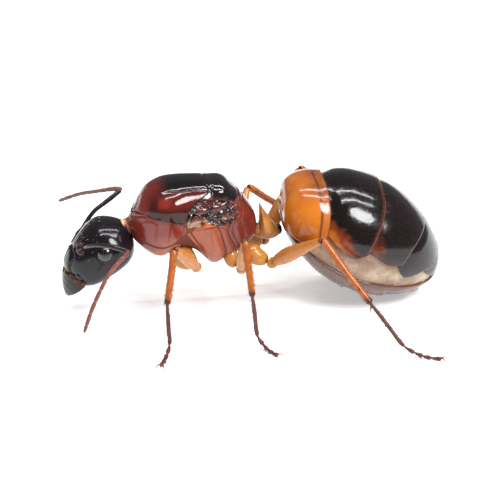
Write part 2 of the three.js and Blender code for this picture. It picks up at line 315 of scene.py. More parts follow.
HEAD_TOP = CROWN - HEAD_DEPTH * RISE
head_core = region(HEAD_TOP, HEAD_LENGTH * DOWN, LEFT, RISE, [0, 0], FACE, NAPE, CHEEK, 3.6)
head_s = steps(226)[1:-1, None] * MOUTH
head_grid = head_core(head_s, circle(240))
head_axis = HEAD_TOP + head_s[..., None] * HEAD_LENGTH * DOWN
head_close = np.sqrt(1 - (head_s / MOUTH) ** 14)[..., None]
head_grid = head_axis + (head_grid - head_axis) * head_close
head_places = [(head_grid - CROWN) @ axis for axis in (DOWN, LEFT, RISE)]
head_normal = normals(head_grid, closed=True)
head_grid = head_grid + head_normal * face_relief(*head_places)[..., None]
head_normal = normals(head_grid, closed=True)

jet = Paint("jet_shell", Coat_Weight=0.1, Coat_Roughness=0.06, Specular_IOR_Level=0.26)
jet.ground(jet.noise(3.0), (10, 8, 12), (27, 21, 26))
jet.over(jet.mark("socket"), (84, 34, 26))
mouth_tone = jet.mix(jet.step(jet.noise(8.0, 3.0), 0.5, 0.62), (32, 18, 14), (160, 106, 58))
jet.over(jet.mark("mouth"), mouth_tone)
jet_grain = jet.cells(26.0) * 0.7 + jet.noise(60.0, 3.0) * 0.5
jet.done(0.1 + 0.1 * jet.noise(9.0), jet_grain, 0.0012)

down, out, rise = head_places
near_socket = bell(np.hypot(down - SOCKET[0], np.abs(out) - SOCKET[1]), 0.17) * smooth(-0.3, 0.0, rise)
near_mouth = smooth(3.22, 3.42, down) * smooth(-1.0, -0.5, rise)
fit(build("head_capsule", *wrap(head_grid, {"socket": near_socket, "mouth": near_mouth * 0.9})),
    jet, "jet_shell", "head")


# ---- Compound eyes and ocelli ---------------------------------------------------------------
# Each eye is a low black dome of hundreds of six-sided lenses, sunk in its own groove. Three
# single-lens ocelli stand on the crown, as they do on every winged caste.

EYE_SIZE = np.array([0.41, 0.38, 0.38])
SIDES = (("left", 1), ("right", -1))
LENS_PITCH = 0.032
LENS_HEIGHT = 0.0012
OCELLI = [(0.72, 0.0), (0.5, 0.2), (0.5, -0.2)]
OCELLUS = 0.06


def dome(middle, axes, rows, around, relief=None):
    """Rings of an ellipsoid: middle + cos(fall) * axes[1] + sin(fall) * (axes[0], axes[2]).
    relief(a, b) is added along the surface at unit places a and b across the dome."""
    fall = np.linspace(0, np.pi, rows + 2)[1:-1, None]
    turn = circle(around)
    a, b, c = np.sin(fall) * np.cos(turn), np.sin(fall) * np.sin(turn), np.cos(fall) + 0 * turn
    swell = 1 if relief is None else 1 + relief(a, b)
    a, b, c = ((swell * part)[..., None] for part in (a, b, c))
    return middle + a * axes[0] + c * axes[1] + b * axes[2]


def lenses(a, b):
    """A honeycomb of small bumps: the sum of three cosines at sixty degrees to each other."""
    x, y = a * EYE_SIZE[0] * 2 * np.pi / LENS_PITCH, b * EYE_SIZE[2] * 2 * np.pi / LENS_PITCH
    waves = sum(np.cos(x * np.cos(t) + y * np.sin(t)) for t in np.radians([0, 60, 120]))
    return LENS_HEIGHT / EYE_SIZE[1] * waves


eye_black = Paint("eye_black", Coat_Weight=0.5, Coat_Roughness=0.1)
eye_black.ground(eye_black.noise(4.0), (7, 6, 8), (18, 14, 14))
eye_black.done(0.13 + 0.05 * eye_black.noise(20.0), eye_black.cells(30.0), 0.0002)
for name, side in SIDES:
    centre = on_head(EYE[0], side * EYE[1], EYE[2])
    axes = [EYE_SIZE[0] * DOWN, side * EYE_SIZE[1] * LEFT, EYE_SIZE[2] * RISE]
    eye = dome(centre, axes, 116, 116, lenses)
    fit(build(f"eye_{name}", *wrap(eye)), eye_black, "eye", f"eye_{name}")

ocellus_glass = Paint("ocellus", Coat_Weight=0.8, Coat_Roughness=0.04)
ocellus_glass.ground(ocellus_glass.noise(12.0), (14, 11, 12), (44, 28, 24))
ocellus_glass.done(0.1 + 0.1 * ocellus_glass.noise(20.0), ocellus_glass.noise(40.0), 0.0005)


def head_seat(down, out):
    """The point and normal of the face at a place down from the crown and out to the left."""
    gap = np.hypot(head_places[0] - down, head_places[1] - out) + 10 * (head_places[2] < -0.7)
    seat = np.unravel_index(gap.argmin(), gap.shape)
    return head_grid[seat], head_normal[seat]


for index, place in enumerate(OCELLI):
    seat, normal = head_seat(*place)
    across = np.cross(normal, DOWN)
    axes = [OCELLUS * np.cross(across, normal), OCELLUS * 0.8 * normal, OCELLUS * across]
    fit(build(f"ocellus_{index + 1}", *wrap(dome(seat, axes, 20, 28))), ocellus_glass, "eye", "head")


# ---- Jaws, lip and palps ----------------------------------------------------------------------
# The two jaws are thick toothed blades hinged at the cheeks, closed under the mouth shield so
# that their edges meet. The lip and the thin jointed palps hang behind them.

JAW_OUTER = [(3.0, 1.12, -0.95), (3.45, 1.08, -0.95), (3.92, 0.82, -0.92), (4.28, 0.44, -0.9),
             (4.48, 0.08, -0.9)]
JAW_INNER = [(3.3, 0.3, -0.2), (3.52, 0.06, -0.16), (3.85, 0.03, -0.36), (4.15, 0.03, -0.6),
             (4.4, 0.02, -0.86)]
JAW_THICK = [0.3, 0.26, 0.2, 0.13, 0.04]
TEETH = 6
TOOTH = 0.07


def teeth(t):
    """Height of the cutting edge along the blade: a saw of TEETH rounded points."""
    saw = 1 - np.abs(2 * ((t * TEETH) % 1) - 1)
    return TOOTH * np.sqrt(saw) * smooth(0.15, 0.35, t)


jaw = Paint("jaw_shell", Coat_Weight=0.2, Coat_Roughness=0.12, Specular_IOR_Level=0.2)
jaw.ground(jaw.mark("edge"), (30, 20, 20), (14, 9, 9))
jaw_root = jaw.mix(jaw.step(jaw.noise(7.0, 3.0), 0.4, 0.6), (38, 23, 18), (104, 66, 42))
jaw.over(jaw.mark("root"), jaw_root)
jaw_lines = jaw.noise(10.0, 3.0, (1, 6, 1)) + 0.6 * jaw.cells(9.0)
jaw.done(0.2 + 0.16 * jaw.noise(8.0), jaw_lines, 0.008)


def blade(side):
    """Rings round a jaw: at t along it, an ellipse from the outer edge to the toothed one."""
    t, turn = steps(90)[1:-1, None], circle(64)
    outer, inner = spline(JAW_OUTER, t), spline(JAW_INNER, t)
    inner = inner - np.stack([0 * t, teeth(t) * smooth(1, 0.85, t), 0 * t], -1)
    full = np.sqrt(1 - (2 * t - 1) ** 10)[..., None]
    middle, reach = (outer + inner) / 2, (outer - inner) / 2
    place = middle + reach * full * np.cos(turn)[..., None]
    belly = np.sin(turn) + 0.35 * (1 - np.cos(turn) ** 2)
    place = place + np.multiply.outer(spline(JAW_THICK, t) * belly * full[..., 0], [0.25, 0.0, 1.0])
    place[..., 1] *= side
    root = smooth(0.32, 0.0, t) + 0 * turn
    edge = smooth(0.2, 0.9, -np.cos(turn)) + 0 * t
    return on_head(*np.moveaxis(place, -1, 0)), {"root": root, "edge": edge}


for name, side in SIDES:
    fit(build(f"mandible_{name}", *wrap(*blade(side))), jaw, "jet_shell", f"mandible_{name}")

LIP = [(3.42, 0.0, -0.12), (3.6, 0.0, -0.2), (3.72, 0.0, -0.36)]
LIP_HALF = [0.4, 0.34, 0.2]
LIP_THICK = 0.07
lip = Paint("lip_shell", Coat_Weight=0.2)
lip.ground(lip.noise(8.0), (70, 36, 22), (128, 78, 44))
lip.done(0.3 + 0.2 * lip.noise(12.0), lip.noise(30.0), 0.003)
t, turn = steps(40)[1:-1, None], circle(48)
lip_full = np.sqrt(1 - (2 * t - 1) ** 4)
lip_wide = spline(LIP_HALF, t) * lip_full * np.cos(turn)
lip_thick = LIP_THICK * lip_full * np.sin(turn)
lip_middle = spline(LIP, t)
lip_grid = on_head(lip_middle[..., 0] + 0 * turn, lip_wide, lip_middle[..., 2] + lip_thick)
fit(build("lip", *wrap(lip_grid)), lip, "red_shell", "head")


def frames(path):
    """Tangents, level sides and rises along a path of points: side = lead x UP."""
    lead = np.gradient(path, axis=0)
    lead /= np.linalg.norm(lead, axis=1, keepdims=True)
    side = np.cross(lead, UP)
    side /= np.linalg.norm(side, axis=1, keepdims=True)
    return lead, side, np.cross(side, lead)


def limb(knots, wide, thick=None, rows=60, around=24, crowd=True):
    """Rings of a rod with round ends along a spline of knots. wide and thick are its two
    radii, lists at equal steps or functions of t; returns the rings and t at each ring."""
    t = steps(rows + 2)[1:-1] if crowd else np.linspace(0, 1, rows + 2)[1:-1]
    path = spline(knots, t)
    lead, side, rise = frames(path)
    a, b = (size(t) if callable(size) else spline(size, t) for size in (wide, thick or wide))
    length = np.linalg.norm(np.diff(path, axis=0), axis=1).sum()
    tip = np.minimum(t, 1 - t) * length / np.maximum(a, 1e-6)
    round_end = np.sqrt(1 - np.clip(1 - tip, 0, 1) ** 2)
    turn = circle(around)
    across = (a * round_end)[:, None, None] * np.cos(turn)[None, :, None] * side[:, None]
    lift = (b * round_end)[:, None, None] * np.sin(turn)[None, :, None] * rise[:, None]
    return path[:, None] + across + lift, t


PALP = [(3.3, 0.3, -0.95), (3.62, 0.34, -1.12), (3.72, 0.24, -1.18), (3.6, 0.1, -1.2)]


def beads(count, thin, thick):
    """Radius along a jointed feeler: count segments, each narrow at its root."""
    def radius(t):
        inside = (t * count) % 1
        return thin + (thick - thin) * np.sqrt(np.sin(np.pi * np.clip(0.08 + 0.86 * inside, 0, 1)))
    return radius


for name, side in SIDES:
    route = [on_head(d, side * o, r) for d, o, r in PALP]
    rings, _ = limb(route, beads(5, 0.02, 0.045), rows=90, around=14, crowd=False)
    fit(build(f"palp_{name}", *wrap(rings)), lip, "red_shell", "head")


# ---- Antennae -----------------------------------------------------------------------------------
# A long black scape swings from a ball in each socket; the whip beyond the elbow has eleven
# segments of red-brown cuticle with pale rings of skin between them.

SCAPE_RADIUS = [0.06, 0.09, 0.1, 0.105, 0.11, 0.12, 0.1]
SEGMENTS = 11
WHIP_THICK = 0.132
SCAPES = {
    "left": [(-7.68, -1.3, 3.9), (-7.2, -1.93, 4.23), (-6.63, -2.4, 4.33), (-5.96, -2.75, 4.22)],
    "right": [(-7.6, 1.14, 3.9), (-7.12, 1.38, 4.43), (-6.5, 1.6, 4.8), (-5.81, 1.85, 5.22)],
}
WHIPS = {
    "left": [(-6.15, -2.95, 4.1), (-6.91, -3.3, 3.4), (-7.65, -3.62, 2.1), (-8.16, -3.8, 0.76)],
    "right": [(-6.1, 2.1, 5.18), (-6.9, 2.7, 4.83), (-7.65, 3.4, 4.42), (-8.56, 4.2, 3.76)],
}

scape = Paint("scape_shell", Coat_Weight=0.25, Coat_Roughness=0.12, Specular_IOR_Level=0.3)
scape.ground(scape.noise(4.0), (20, 17, 19), (44, 34, 34))
scape.over(scape.mark("ends"), (120, 58, 30))
scape.done(0.18 + 0.15 * scape.noise(12.0), scape.noise(30.0, 3.0), 0.003)

whip = Paint("whip_shell", Coat_Weight=0.1)
whip.ground(whip.noise(6.0), (112, 52, 44), (144, 78, 66))
whip.over(whip.mark("joint") * 0.5, (160, 100, 80))
whip.over(whip.mark("root") * 0.9, (50, 27, 27))
whip.over(whip.mark("tip") * 0.5, (72, 40, 34))
whip.over(whip.step(whip.y, 0, 1) * 0.75, (112, 88, 70))
whip.done(0.35 + 0.2 * whip.noise(14.0), whip.noise(60.0, 3.0), 0.004)


def whip_radius(t):
    """Radius along the whip: segments that widen outwards, tapering to a blunt last one."""
    inside = (t * SEGMENTS) % 1
    body = 0.8 + 0.2 * smooth(0, 0.3, inside) * smooth(1.0, 0.93, inside)
    return WHIP_THICK * body * (1 - 0.3 * smooth(0, 0.6, t)) * smooth(1.06, 0.93, t)


limbs = {}
for name, side in SIDES:
    socket = on_head(SOCKET[0], side * SOCKET[1], 0.1)
    rings, t = limb([socket, *SCAPES[name]], SCAPE_RADIUS, rows=90)
    limbs[f"scape_{name}"] = rings
    ends = (smooth(0.08, 0.0, t) + 0.7 * smooth(0.94, 1.0, t))[:, None] + np.zeros(rings.shape[1])
    fit(build(f"scape_{name}", *wrap(rings, {"ends": ends})), scape, "jet_shell", f"scape_{name}")
    rings, t = limb([SCAPES[name][-1], *WHIPS[name]], whip_radius, rows=330, around=20, crowd=False)
    limbs[f"flagellum_{name}"] = rings
    inside = (t * SEGMENTS) % 1
    joint = smooth(0.14, 0.04, inside) + smooth(0.93, 0.98, inside)
    spread = np.ones(rings.shape[1])
    marks = {"joint": joint[:, None] * spread, "tip": smooth(0.2, 1, t)[:, None] * spread,
             "root": smooth(0.5, 0.02, t)[:, None] * spread}
    fit(build(f"flagellum_{name}", *wrap(rings, marks)), whip, "wine_shell", f"flagellum_{name}")


# ---- Trunk: the soft body under the plates ------------------------------------------------------
# Between her plates a queen shows a dark, leathery skin. It is one closed body a little inside
# the plates, and the plates that follow are laid over it.

TRUNK = region(np.array([-5.78, 0, 0]), np.array([6.12, 0, 0]), LEFT, UP,
               [4.3, 4.36, 4.42, 4.44, 4.46, 4.46, 4.4, 4.2, 3.9],
               [0.7, 1.74, 2.0, 2.07, 2.05, 1.99, 1.86, 1.62, 1.35],
               [0.85, 1.35, 1.6, 1.12, 1.36, 2.08, 1.95, 1.5, 0.85],
               [0.85, 1.25, 1.58, 1.65, 1.62, 1.53, 1.36, 1.12, 0.88], 5, 2.6)
UNDER_PLATES = 0.035
UNDER_SCARS = 0.1

trunk_skin = Paint("trunk_skin")
trunk_skin.ground(trunk_skin.noise(5.0), (70, 28, 20), (128, 60, 38))
trunk_skin.over(trunk_skin.step(trunk_skin.z, 5.5, 5.9), (22, 13, 13))
trunk_skin.done(0.4 + 0.2 * trunk_skin.noise(9.0), trunk_skin.noise(14.0, 4.0), 0.03)
ring_turn = circle(120)
core_s, core_turn = steps(92)[1:-1, None], np.degrees(np.arcsin(np.sin(ring_turn)))
core_grid = TRUNK(core_s, ring_turn)
scars = smooth(0.42, 0.48, core_s) * smooth(0.84, 0.78, core_s)
scars = scars * smooth(4, 12, core_turn) * smooth(50, 42, core_turn)
core_depth = (UNDER_PLATES + UNDER_SCARS * scars)[..., None]
core_grid = core_grid - core_depth * normals(core_grid, closed=True)
fit(build("trunk_skin", *wrap(core_grid)), trunk_skin, "membrane", "mesopleuron")

NECK = [(-6.5, 0, 3.95), (-6.0, 0, 4.1), (-5.6, 0, 4.22), (-5.2, 0, 4.3)]
NECK_RADIUS = 0.42
NECK_FOLDS = 9


def neck_radius(t):
    """A tube with soft rings: NECK_RADIUS * (1 + 0.04 cos(2 pi folds t))."""
    return NECK_RADIUS * (1 + 0.04 * np.cos(2 * np.pi * NECK_FOLDS * t))


neck = Paint("neck_skin", Subsurface_Weight=0.15, Subsurface_Scale=0.0002)
neck.ground(neck.noise(5.0, 3.0), (128, 66, 48), (76, 32, 24))
# A pale patch on top of the neck: a pale plate, lightened further by painted highlight.
neck_plate_and_highlight = neck.step(neck.z, 4.38, 4.5) * neck.fade(abs(neck.x + 5.98), 0.08, 0.2)
neck.over(neck_plate_and_highlight, (214, 168, 126))
neck.done(0.35 + 0.2 * neck.noise(8.0), neck.noise(18.0, 3.0), 0.02)
fit(build("neck", *wrap(limb(NECK, neck_radius, rows=120, around=60)[0])), neck, "membrane", "pronotum")


# ---- Trunk plates ---------------------------------------------------------------------------------
# Hard plates meet edge to edge with rolled rims: a collar behind the head, the big shield and
# rear shield of the back, the flanks over the legs, and the rounded rear slope.


SEAM_EASE = 2.5


def seam(*corners):
    """The s of a seam at a turn in degrees: straight between (turn, s) corners, then averaged
    over five places SEAM_EASE degrees apart, so that the corners are round."""
    turns, places = np.transpose(corners)
    spread = SEAM_EASE * np.arange(-2, 3)
    return lambda turn: sum(np.interp(turn + k, turns, places) for k in spread) / len(spread)


def plate(name, surface, low, high, front, rear, mirror=False, rim=0.05, wall=0.16, rows=80,
          across=130, swell=None, side=1):
    """A closed shell plate laid over a region, between the turns low and high in degrees (low
    may be knots along the plate) and between the seams front and rear. A mirrored plate runs
    over its middle line, high, to the other side. The border falls by a quarter circle of
    radius rim, then a wall goes in to a middle point. swell(marks) raises the surface.
    Returns the object, its outer grid, normals and marks."""
    a, b = np.linspace(0, 1, rows)[:, None], np.linspace(0, 1, across)[None, :]
    start = spline(low if isinstance(low, list) else [low, low], a)
    turn = start + (high - start) * b * (2 if mirror else 1)
    fold = start + (high - start) * (1 - np.abs(1 - 2 * b) if mirror else b)
    s = front(fold) + (rear(fold) - front(fold)) * a
    grid, across_from = surface(s, np.radians(turn)), surface(s, np.radians(turn + 180))
    normal = normals(grid)
    normal = normal * np.sign((normal * (grid - across_from)).sum())
    along = np.pad(np.linalg.norm(np.diff(grid, axis=0), axis=2).cumsum(0), ((1, 0), (0, 0)))
    beside = np.pad(np.linalg.norm(np.diff(grid, axis=1), axis=2).cumsum(1), ((0, 0), (1, 0)))
    marks = {"s": s, "turn": fold, "fore": along, "rear": along[-1:] - along}
    marks["rim"] = np.minimum.reduce([along, marks["rear"], beside, beside[:, -1:] - beside])
    drop = rim * (1 - np.sqrt(1 - np.clip(1 - marks["rim"] / rim, 0, 1) ** 2))
    lift = 0 if swell is None else swell(marks)
    grid = grid + (lift - drop)[..., None] * normal
    if side < 0:
        grid, normal = grid * [1, -1, 1], normal * [1, -1, 1]
    index = np.arange(rows * across).reshape(rows, across)
    quads = [index[:-1, :-1], index[:-1, 1:], index[1:, 1:], index[1:, :-1]]
    quads = np.stack(quads, -1).reshape(-1, 4)
    loop = np.concatenate([index[0, :-1], index[:-1, -1], index[-1, :0:-1], index[:0:-1, 0]])
    points, away = grid.reshape(-1, 3), normal.reshape(-1, 3)
    foot = points[loop] - wall * away[loop]
    inside = foot.mean(0) - wall * away[loop].mean(0)
    ring = rows * across + np.arange(len(loop))
    hub = np.full(len(loop), rows * across + len(loop))
    band = np.stack([np.roll(loop, -1), loop, ring, np.roll(ring, -1)], 1)
    fan = np.stack([np.roll(ring, -1), ring, hub], 1)
    spread = {mark: np.concatenate([v.ravel(), v.ravel()[loop], [0.0]]) for mark, v in marks.items()}
    piece = build(name, np.concatenate([points, foot, inside[None]]), [quads, band, fan], spread)
    return piece, grid, normal, marks


def cuticle(name, dark, pale, patches=(), coat=0.1, grain=0.0007, rough=0.1, shine=0.45, wave=9.0):
    """Hard shell: two tones in soft blotches, patches of (share, colour), fine net-like grain
    and a broad soft waviness."""
    paint = Paint(name, Coat_Weight=coat, Coat_Roughness=0.07, Specular_IOR_Level=shine)
    paint.ground(paint.noise(1.8, 4.0), dark, pale)
    for share, colour in patches:
        paint.over(share(paint), colour)
    net = paint.cells(24.0) * 0.6 + paint.noise(55.0, 3.0) * 0.5 + paint.noise(3.5) * wave
    return paint.done(rough + 0.06 * paint.noise(8.0), net, grain)


def rises(mark, low, high, share=1):
    """The share of a finish: 0 where a mark is below low, `share` where it is above high."""
    return lambda paint: paint.step(paint.mark(mark), low, high) * share


def falls(mark, low, high, share=1):
    """The other way round: `share` below low and 0 above high."""
    return lambda paint: paint.fade(paint.mark(mark), low, high) * share


def times(first, second, share=1):
    """The product of two such shares, times `share`."""
    return lambda paint: first(paint) * second(paint) * share


def spot(s, turn, long, wide):
    """1 in the middle of an oval patch of a plate and 0 outside it, with a soft edge."""
    def share(paint):
        a, b = (paint.mark("s") - s) * (1 / long), (paint.mark("turn") - turn) * (1 / wide)
        return paint.fade(a * a + b * b + paint.noise(6.0) * 0.5, 0.35, 1.7)
    return share


def dark_rim(width):
    """A share of 0.7 on the border of a plate that falls to 0 at its width."""
    return falls("rim", 0.2 * width, width, 0.7)


shells = {}


def lay(name, paint, slot, node, *shape, **more):
    """Makes a plate, finishes it and keeps it for the hairs; returns its grid, normals, marks."""
    shells[name] = plate(name, *shape, **more)
    fit(shells[name][0], paint, slot, node)
    return shells[name][1:]


COLLAR = seam((-70, 0.3), (-55, 0.33), (-25, 0.41), (3, 0.434), (13, 0.42), (15, 0.33), (21, 0.2),
              (31, 0.13), (45, 0.083), (76, 0.052), (90, 0.045))
SHIELD_REAR = seam((13, 0.425), (20, 0.432), (34, 0.46), (47, 0.54), (54, 0.6), (64, 0.612),
                   (74, 0.594), (90, 0.577))
REAR_SHIELD_END = seam((44, 0.8), (60, 0.83), (90, 0.845))
SLOPE_FRONT = seam((-60, 0.83), (-45, 0.815), (-30, 0.8), (-15, 0.765), (-4, 0.74), (5, 0.76),
                   (14, 0.79), (26, 0.84), (45, 0.83), (90, 0.855))
FLANK_FRONT = seam((-90, 0.6), (-55, 0.6), (-46, 0.573), (-22, 0.508), (2, 0.455), (6, 0.49),
                   (11, 0.585))
FLANK_REAR = seam((-90, 0.72), (-50, 0.72), (-38, 0.735), (-5, 0.69), (11, 0.64))
FLANK_LINE = 3.5
level = lambda s: (lambda turn: s + 0 * turn)

# The first patch below, a pale pink share low on the collar's rear, is painted sheen.
collar_paint = cuticle("collar_shell", (98, 30, 24), (140, 54, 40), [
    (times(falls("turn", -26, 4), rises("s", 0.12, 0.28), 0.6), (170, 100, 78)),
    (times(falls("rear", 0.1, 0.5), falls("turn", -2, 12), 0.7), (146, 74, 42)),
    (dark_rim(0.07), (44, 17, 15))])


def rolled(marks):
    """A low roll along the rear rim with a groove before it."""
    return 0.03 * smooth(0.5, 0.15, marks["rear"]) - 0.03 * bell(marks["rear"] - 0.3, 0.06)


lay("pronotum", collar_paint, "red_shell", "pronotum", TRUNK, [-8, -20, -26, -27, -27, -24, 0], 90,
    level(0.006), COLLAR, mirror=True, swell=rolled)


def shield_relief(marks):
    """Two fine furrows beside the middle line and a low swelling between them."""
    s, turn = marks["s"], marks["turn"]
    furrow = 0.02 * bell(turn - 62, 1.4) * smooth(0.25, 0.4, s)
    ridge = 0.012 * bell(turn - 90, 1.2) * smooth(0.34, 0.2, s)
    bulge = 0.19 * bell(np.hypot((s - 0.31) / 0.11, (turn - 33) / 22), 1)
    return bulge + ridge - furrow


def front_shadow(paint):
    """A dark, wandering band across the front of the shield, below its middle."""
    band = paint.fade(abs(paint.mark("s") - 0.22 + 0.06 * paint.noise(2.0, 3.0)), 0.005, 0.06)
    return band * paint.fade(paint.mark("turn"), 48, 68) * 0.8


def side_shadow(paint):
    """A dark, wandering band along each side of the shield."""
    band = paint.fade(abs(paint.mark("turn") - 29 + 10 * paint.noise(2.0, 3.0)), 4, 15)
    return band * paint.step(paint.mark("s"), 0.13, 0.23) * 0.85


def black_back(paint):
    """Black over the middle of the back, behind the red front."""
    above = paint.step(paint.mark("turn") + 14 * paint.noise(3.0), 58, 74)
    return above * paint.step(paint.mark("s"), 0.2, 0.32)


shield_paint = cuticle("shield_shell", (64, 18, 16), (98, 30, 25), [
    (lambda p: p.fade(p.mark("s") + 0.06 * p.noise(2.5, 3.0), 0.12, 0.25), (114, 42, 34)),
    (spot(0.27, 45, 0.055, 9), (114, 38, 27)),
    (front_shadow, (46, 16, 17)), (side_shadow, (42, 14, 15)), (black_back, (14, 10, 12)),
    (dark_rim(0.1), (26, 11, 11))], rough=0.06, shine=0.32)
lay("scutum", shield_paint, "back_shell", "scutum", TRUNK, 14, 90, COLLAR, SHIELD_REAR, mirror=True,
    swell=shield_relief, across=200, rows=110)

rear_shield_paint = cuticle("rear_shield_shell", (12, 10, 12), (24, 18, 20), [
    (spot(0.61, 47, 0.03, 8), (112, 56, 52)),
    (falls("turn", 45, 52, 0.7), (84, 40, 32)), (dark_rim(0.08), (10, 8, 8))], rough=0.06)


def rear_shield_relief(marks):
    """A hump across the middle of the back, and a groove on the sides behind the shield."""
    s, turn = marks["s"], marks["turn"]
    return (0.12 * bell(s - 0.72, 0.07) * smooth(44, 60, turn)
            - 0.05 * bell(s - 0.64, 0.012) * smooth(75, 60, turn))


lay("scutellum", rear_shield_paint, "back_shell", "scutellum", TRUNK, 44, 90, SHIELD_REAR,
    REAR_SHIELD_END, mirror=True, swell=rear_shield_relief)

slope_paint = cuticle("slope_shell", (86, 28, 20), (122, 48, 36), [
    (rises("turn", 40, 75, 0.8), (58, 24, 22)), (dark_rim(0.04), (60, 24, 20))])
lay("propodeum", slope_paint, "red_shell", "propodeum", TRUNK, -60, 90, SLOPE_FRONT, level(0.985),
    mirror=True, swell=lambda m: -0.02 * bell(m["fore"] - 0.25, 0.05), rim=0.03)


def flank_groove(paint):
    """1 on the line that parts the flank's upper strip, 0 a degree or so away."""
    return paint.fade(abs(paint.mark("turn") - FLANK_LINE), 0.3, 1.2)


flank_paint = cuticle("flank_shell", (126, 58, 38), (168, 92, 62), [
    (falls("fore", 0.1, 0.5, 0.7), (160, 76, 42)),
    (falls("turn", -60, -30, 0.6), (150, 86, 66)),
    (times(rises("turn", 3, 5), rises("s", 0.55, 0.58)), (176, 88, 42)),
    (times(flank_groove, rises("s", 0.55, 0.58)), (96, 40, 26)),
    (dark_rim(0.06), (128, 58, 38))])


def flank_relief(marks):
    """Full inside its rim, with a groove along the line that parts its upper strip."""
    return 0.05 * smooth(0, 0.4, marks["rim"]) - 0.03 * bell(marks["turn"] - FLANK_LINE, 1.0)


lay("mesopleuron", flank_paint, "red_shell", "mesopleuron", TRUNK, 11, -90, FLANK_FRONT, FLANK_REAR,
    mirror=True, rows=90, across=220, swell=flank_relief)

rear_flank_paint = cuticle("rear_flank_shell", (112, 46, 32), (152, 76, 52),
                           [(dark_rim(0.03), (90, 38, 28))])
strip_paint = cuticle("strip_shell", (132, 60, 28), (170, 88, 42), [(dark_rim(0.06), (90, 38, 22))])
throat_paint = cuticle("throat_shell", (104, 42, 33), (136, 62, 50), [
    (rises("s", 0.12, 0.26, 0.8), (160, 92, 58)), (dark_rim(0.1), (60, 24, 20))])
REAR_FLANK_FRONT = seam((-48, 0.74), (-38, 0.741), (-5, 0.697), (5, 0.665))
THROAT_REAR = seam((-88, 0.34), (-60, 0.4), (-29, 0.39))
for name, side in SIDES:
    lay(f"metapleuron_{name}", rear_flank_paint, "red_shell", "mesopleuron", TRUNK, -48, 5,
        REAR_FLANK_FRONT, SLOPE_FRONT, side=side, rim=0.03,
        swell=lambda m: 0.08 * smooth(0, 0.25, m["rim"]))
    lay(f"flank_strip_{name}", strip_paint, "red_shell", "mesopleuron", TRUNK, -54, 0,
        lambda turn: FLANK_FRONT(turn) - 0.04, lambda turn: FLANK_FRONT(turn) - 0.004, side=side,
        rim=0.04, rows=24)
    lay(f"propleuron_{name}", throat_paint, "red_shell", "pronotum", TRUNK, -88, -29, level(0.03),
        THROAT_REAR, side=side, rim=0.1)


# ---- Wing scars -----------------------------------------------------------------------------------
# Where the wings broke off, each side keeps a crumpled patch of skin with small hard plates in
# it and two torn stubs. They are bare, and a little sunk between the shields and the flank.

SCAR_FRONT = seam((9, 0.43), (21, 0.436), (34, 0.463), (47, 0.545))
SCAR_REAR = seam((6, 0.7), (14, 0.8), (26, 0.845), (40, 0.835), (50, 0.8))
SCLERITES = [
    (0.5, 19, 0.3, 0.12, 30), (0.545, 28, 0.34, 0.15, 10), (0.59, 20, 0.2, 0.12, 50),
    (0.655, 31, 0.3, 0.19, 0), (0.66, 17, 0.26, 0.13, -20), (0.72, 37, 0.34, 0.15, 15),
    (0.74, 24, 0.24, 0.17, 60), (0.79, 31, 0.22, 0.15, -15), (0.79, 15, 0.18, 0.12, 30)]
SCLERITE_THICK = 0.09
STUBS = [(0.565, 15, 0.12), (0.715, 17, 0.1)]


def crumple(marks):
    """Folds of the soft patch, sunk below the plates: two waves that wander across each other,
    each |sin| with sharp creases."""
    s, turn = marks["s"], marks["turn"]
    first = np.abs(np.sin(27 * s + 0.17 * turn + 1.4 * np.sin(0.13 * turn + 17 * s)))
    second = np.abs(np.sin(0.25 * turn - 22 * s + 1.2 * np.sin(34 * s)))
    calm = 1 - 0.9 * bell(np.hypot((s - 0.6) / 0.085, (turn - 42) / 14), 1)
    return calm * (0.085 * first + 0.06 * second) - 0.11


scar = Paint("scar_skin", Coat_Weight=1.0, Coat_Roughness=0.03, Specular_IOR_Level=0.25)
scar_s, scar_turn = scar.mark("s"), scar.mark("turn")
scar.ground(scar.step(scar.noise(5.0, 3.0), 0.4, 0.6), (50, 18, 16), (11, 7, 8))
scar.over(scar.fade(scar_s, 0.56, 0.6) * scar.fade(scar_turn, 13, 17), (158, 120, 94))
scar.over(scar.step(scar_s, 0.74, 0.8) * 0.8, (108, 44, 34))
scar.over(scar.fade(abs(scar_s - 0.6), 0.03, 0.1) * scar.step(scar_turn, 31, 37) * 0.85, (80, 26, 26))
scar.done(0.06 + 0.12 * scar.noise(9.0), scar.noise(5.0, 2.0), 0.08)
sclerite = Paint("sclerite_shell", Coat_Weight=0.7, Coat_Roughness=0.05, Specular_IOR_Level=0.3)
sclerite.ground(sclerite.step(sclerite.noise(2.2), 0.42, 0.6), (14, 9, 10), (80, 32, 28))
sclerite.done(0.06 + 0.1 * sclerite.noise(9.0), sclerite.noise(14.0), 0.015)
stub = Paint("stub_skin", Coat_Weight=0.2)
stub.ground(stub.noise(6.0), (112, 68, 46), (164, 120, 86))
stub.done(0.35 + 0.2 * stub.noise(12.0), stub.noise(20.0, 4.0), 0.03)

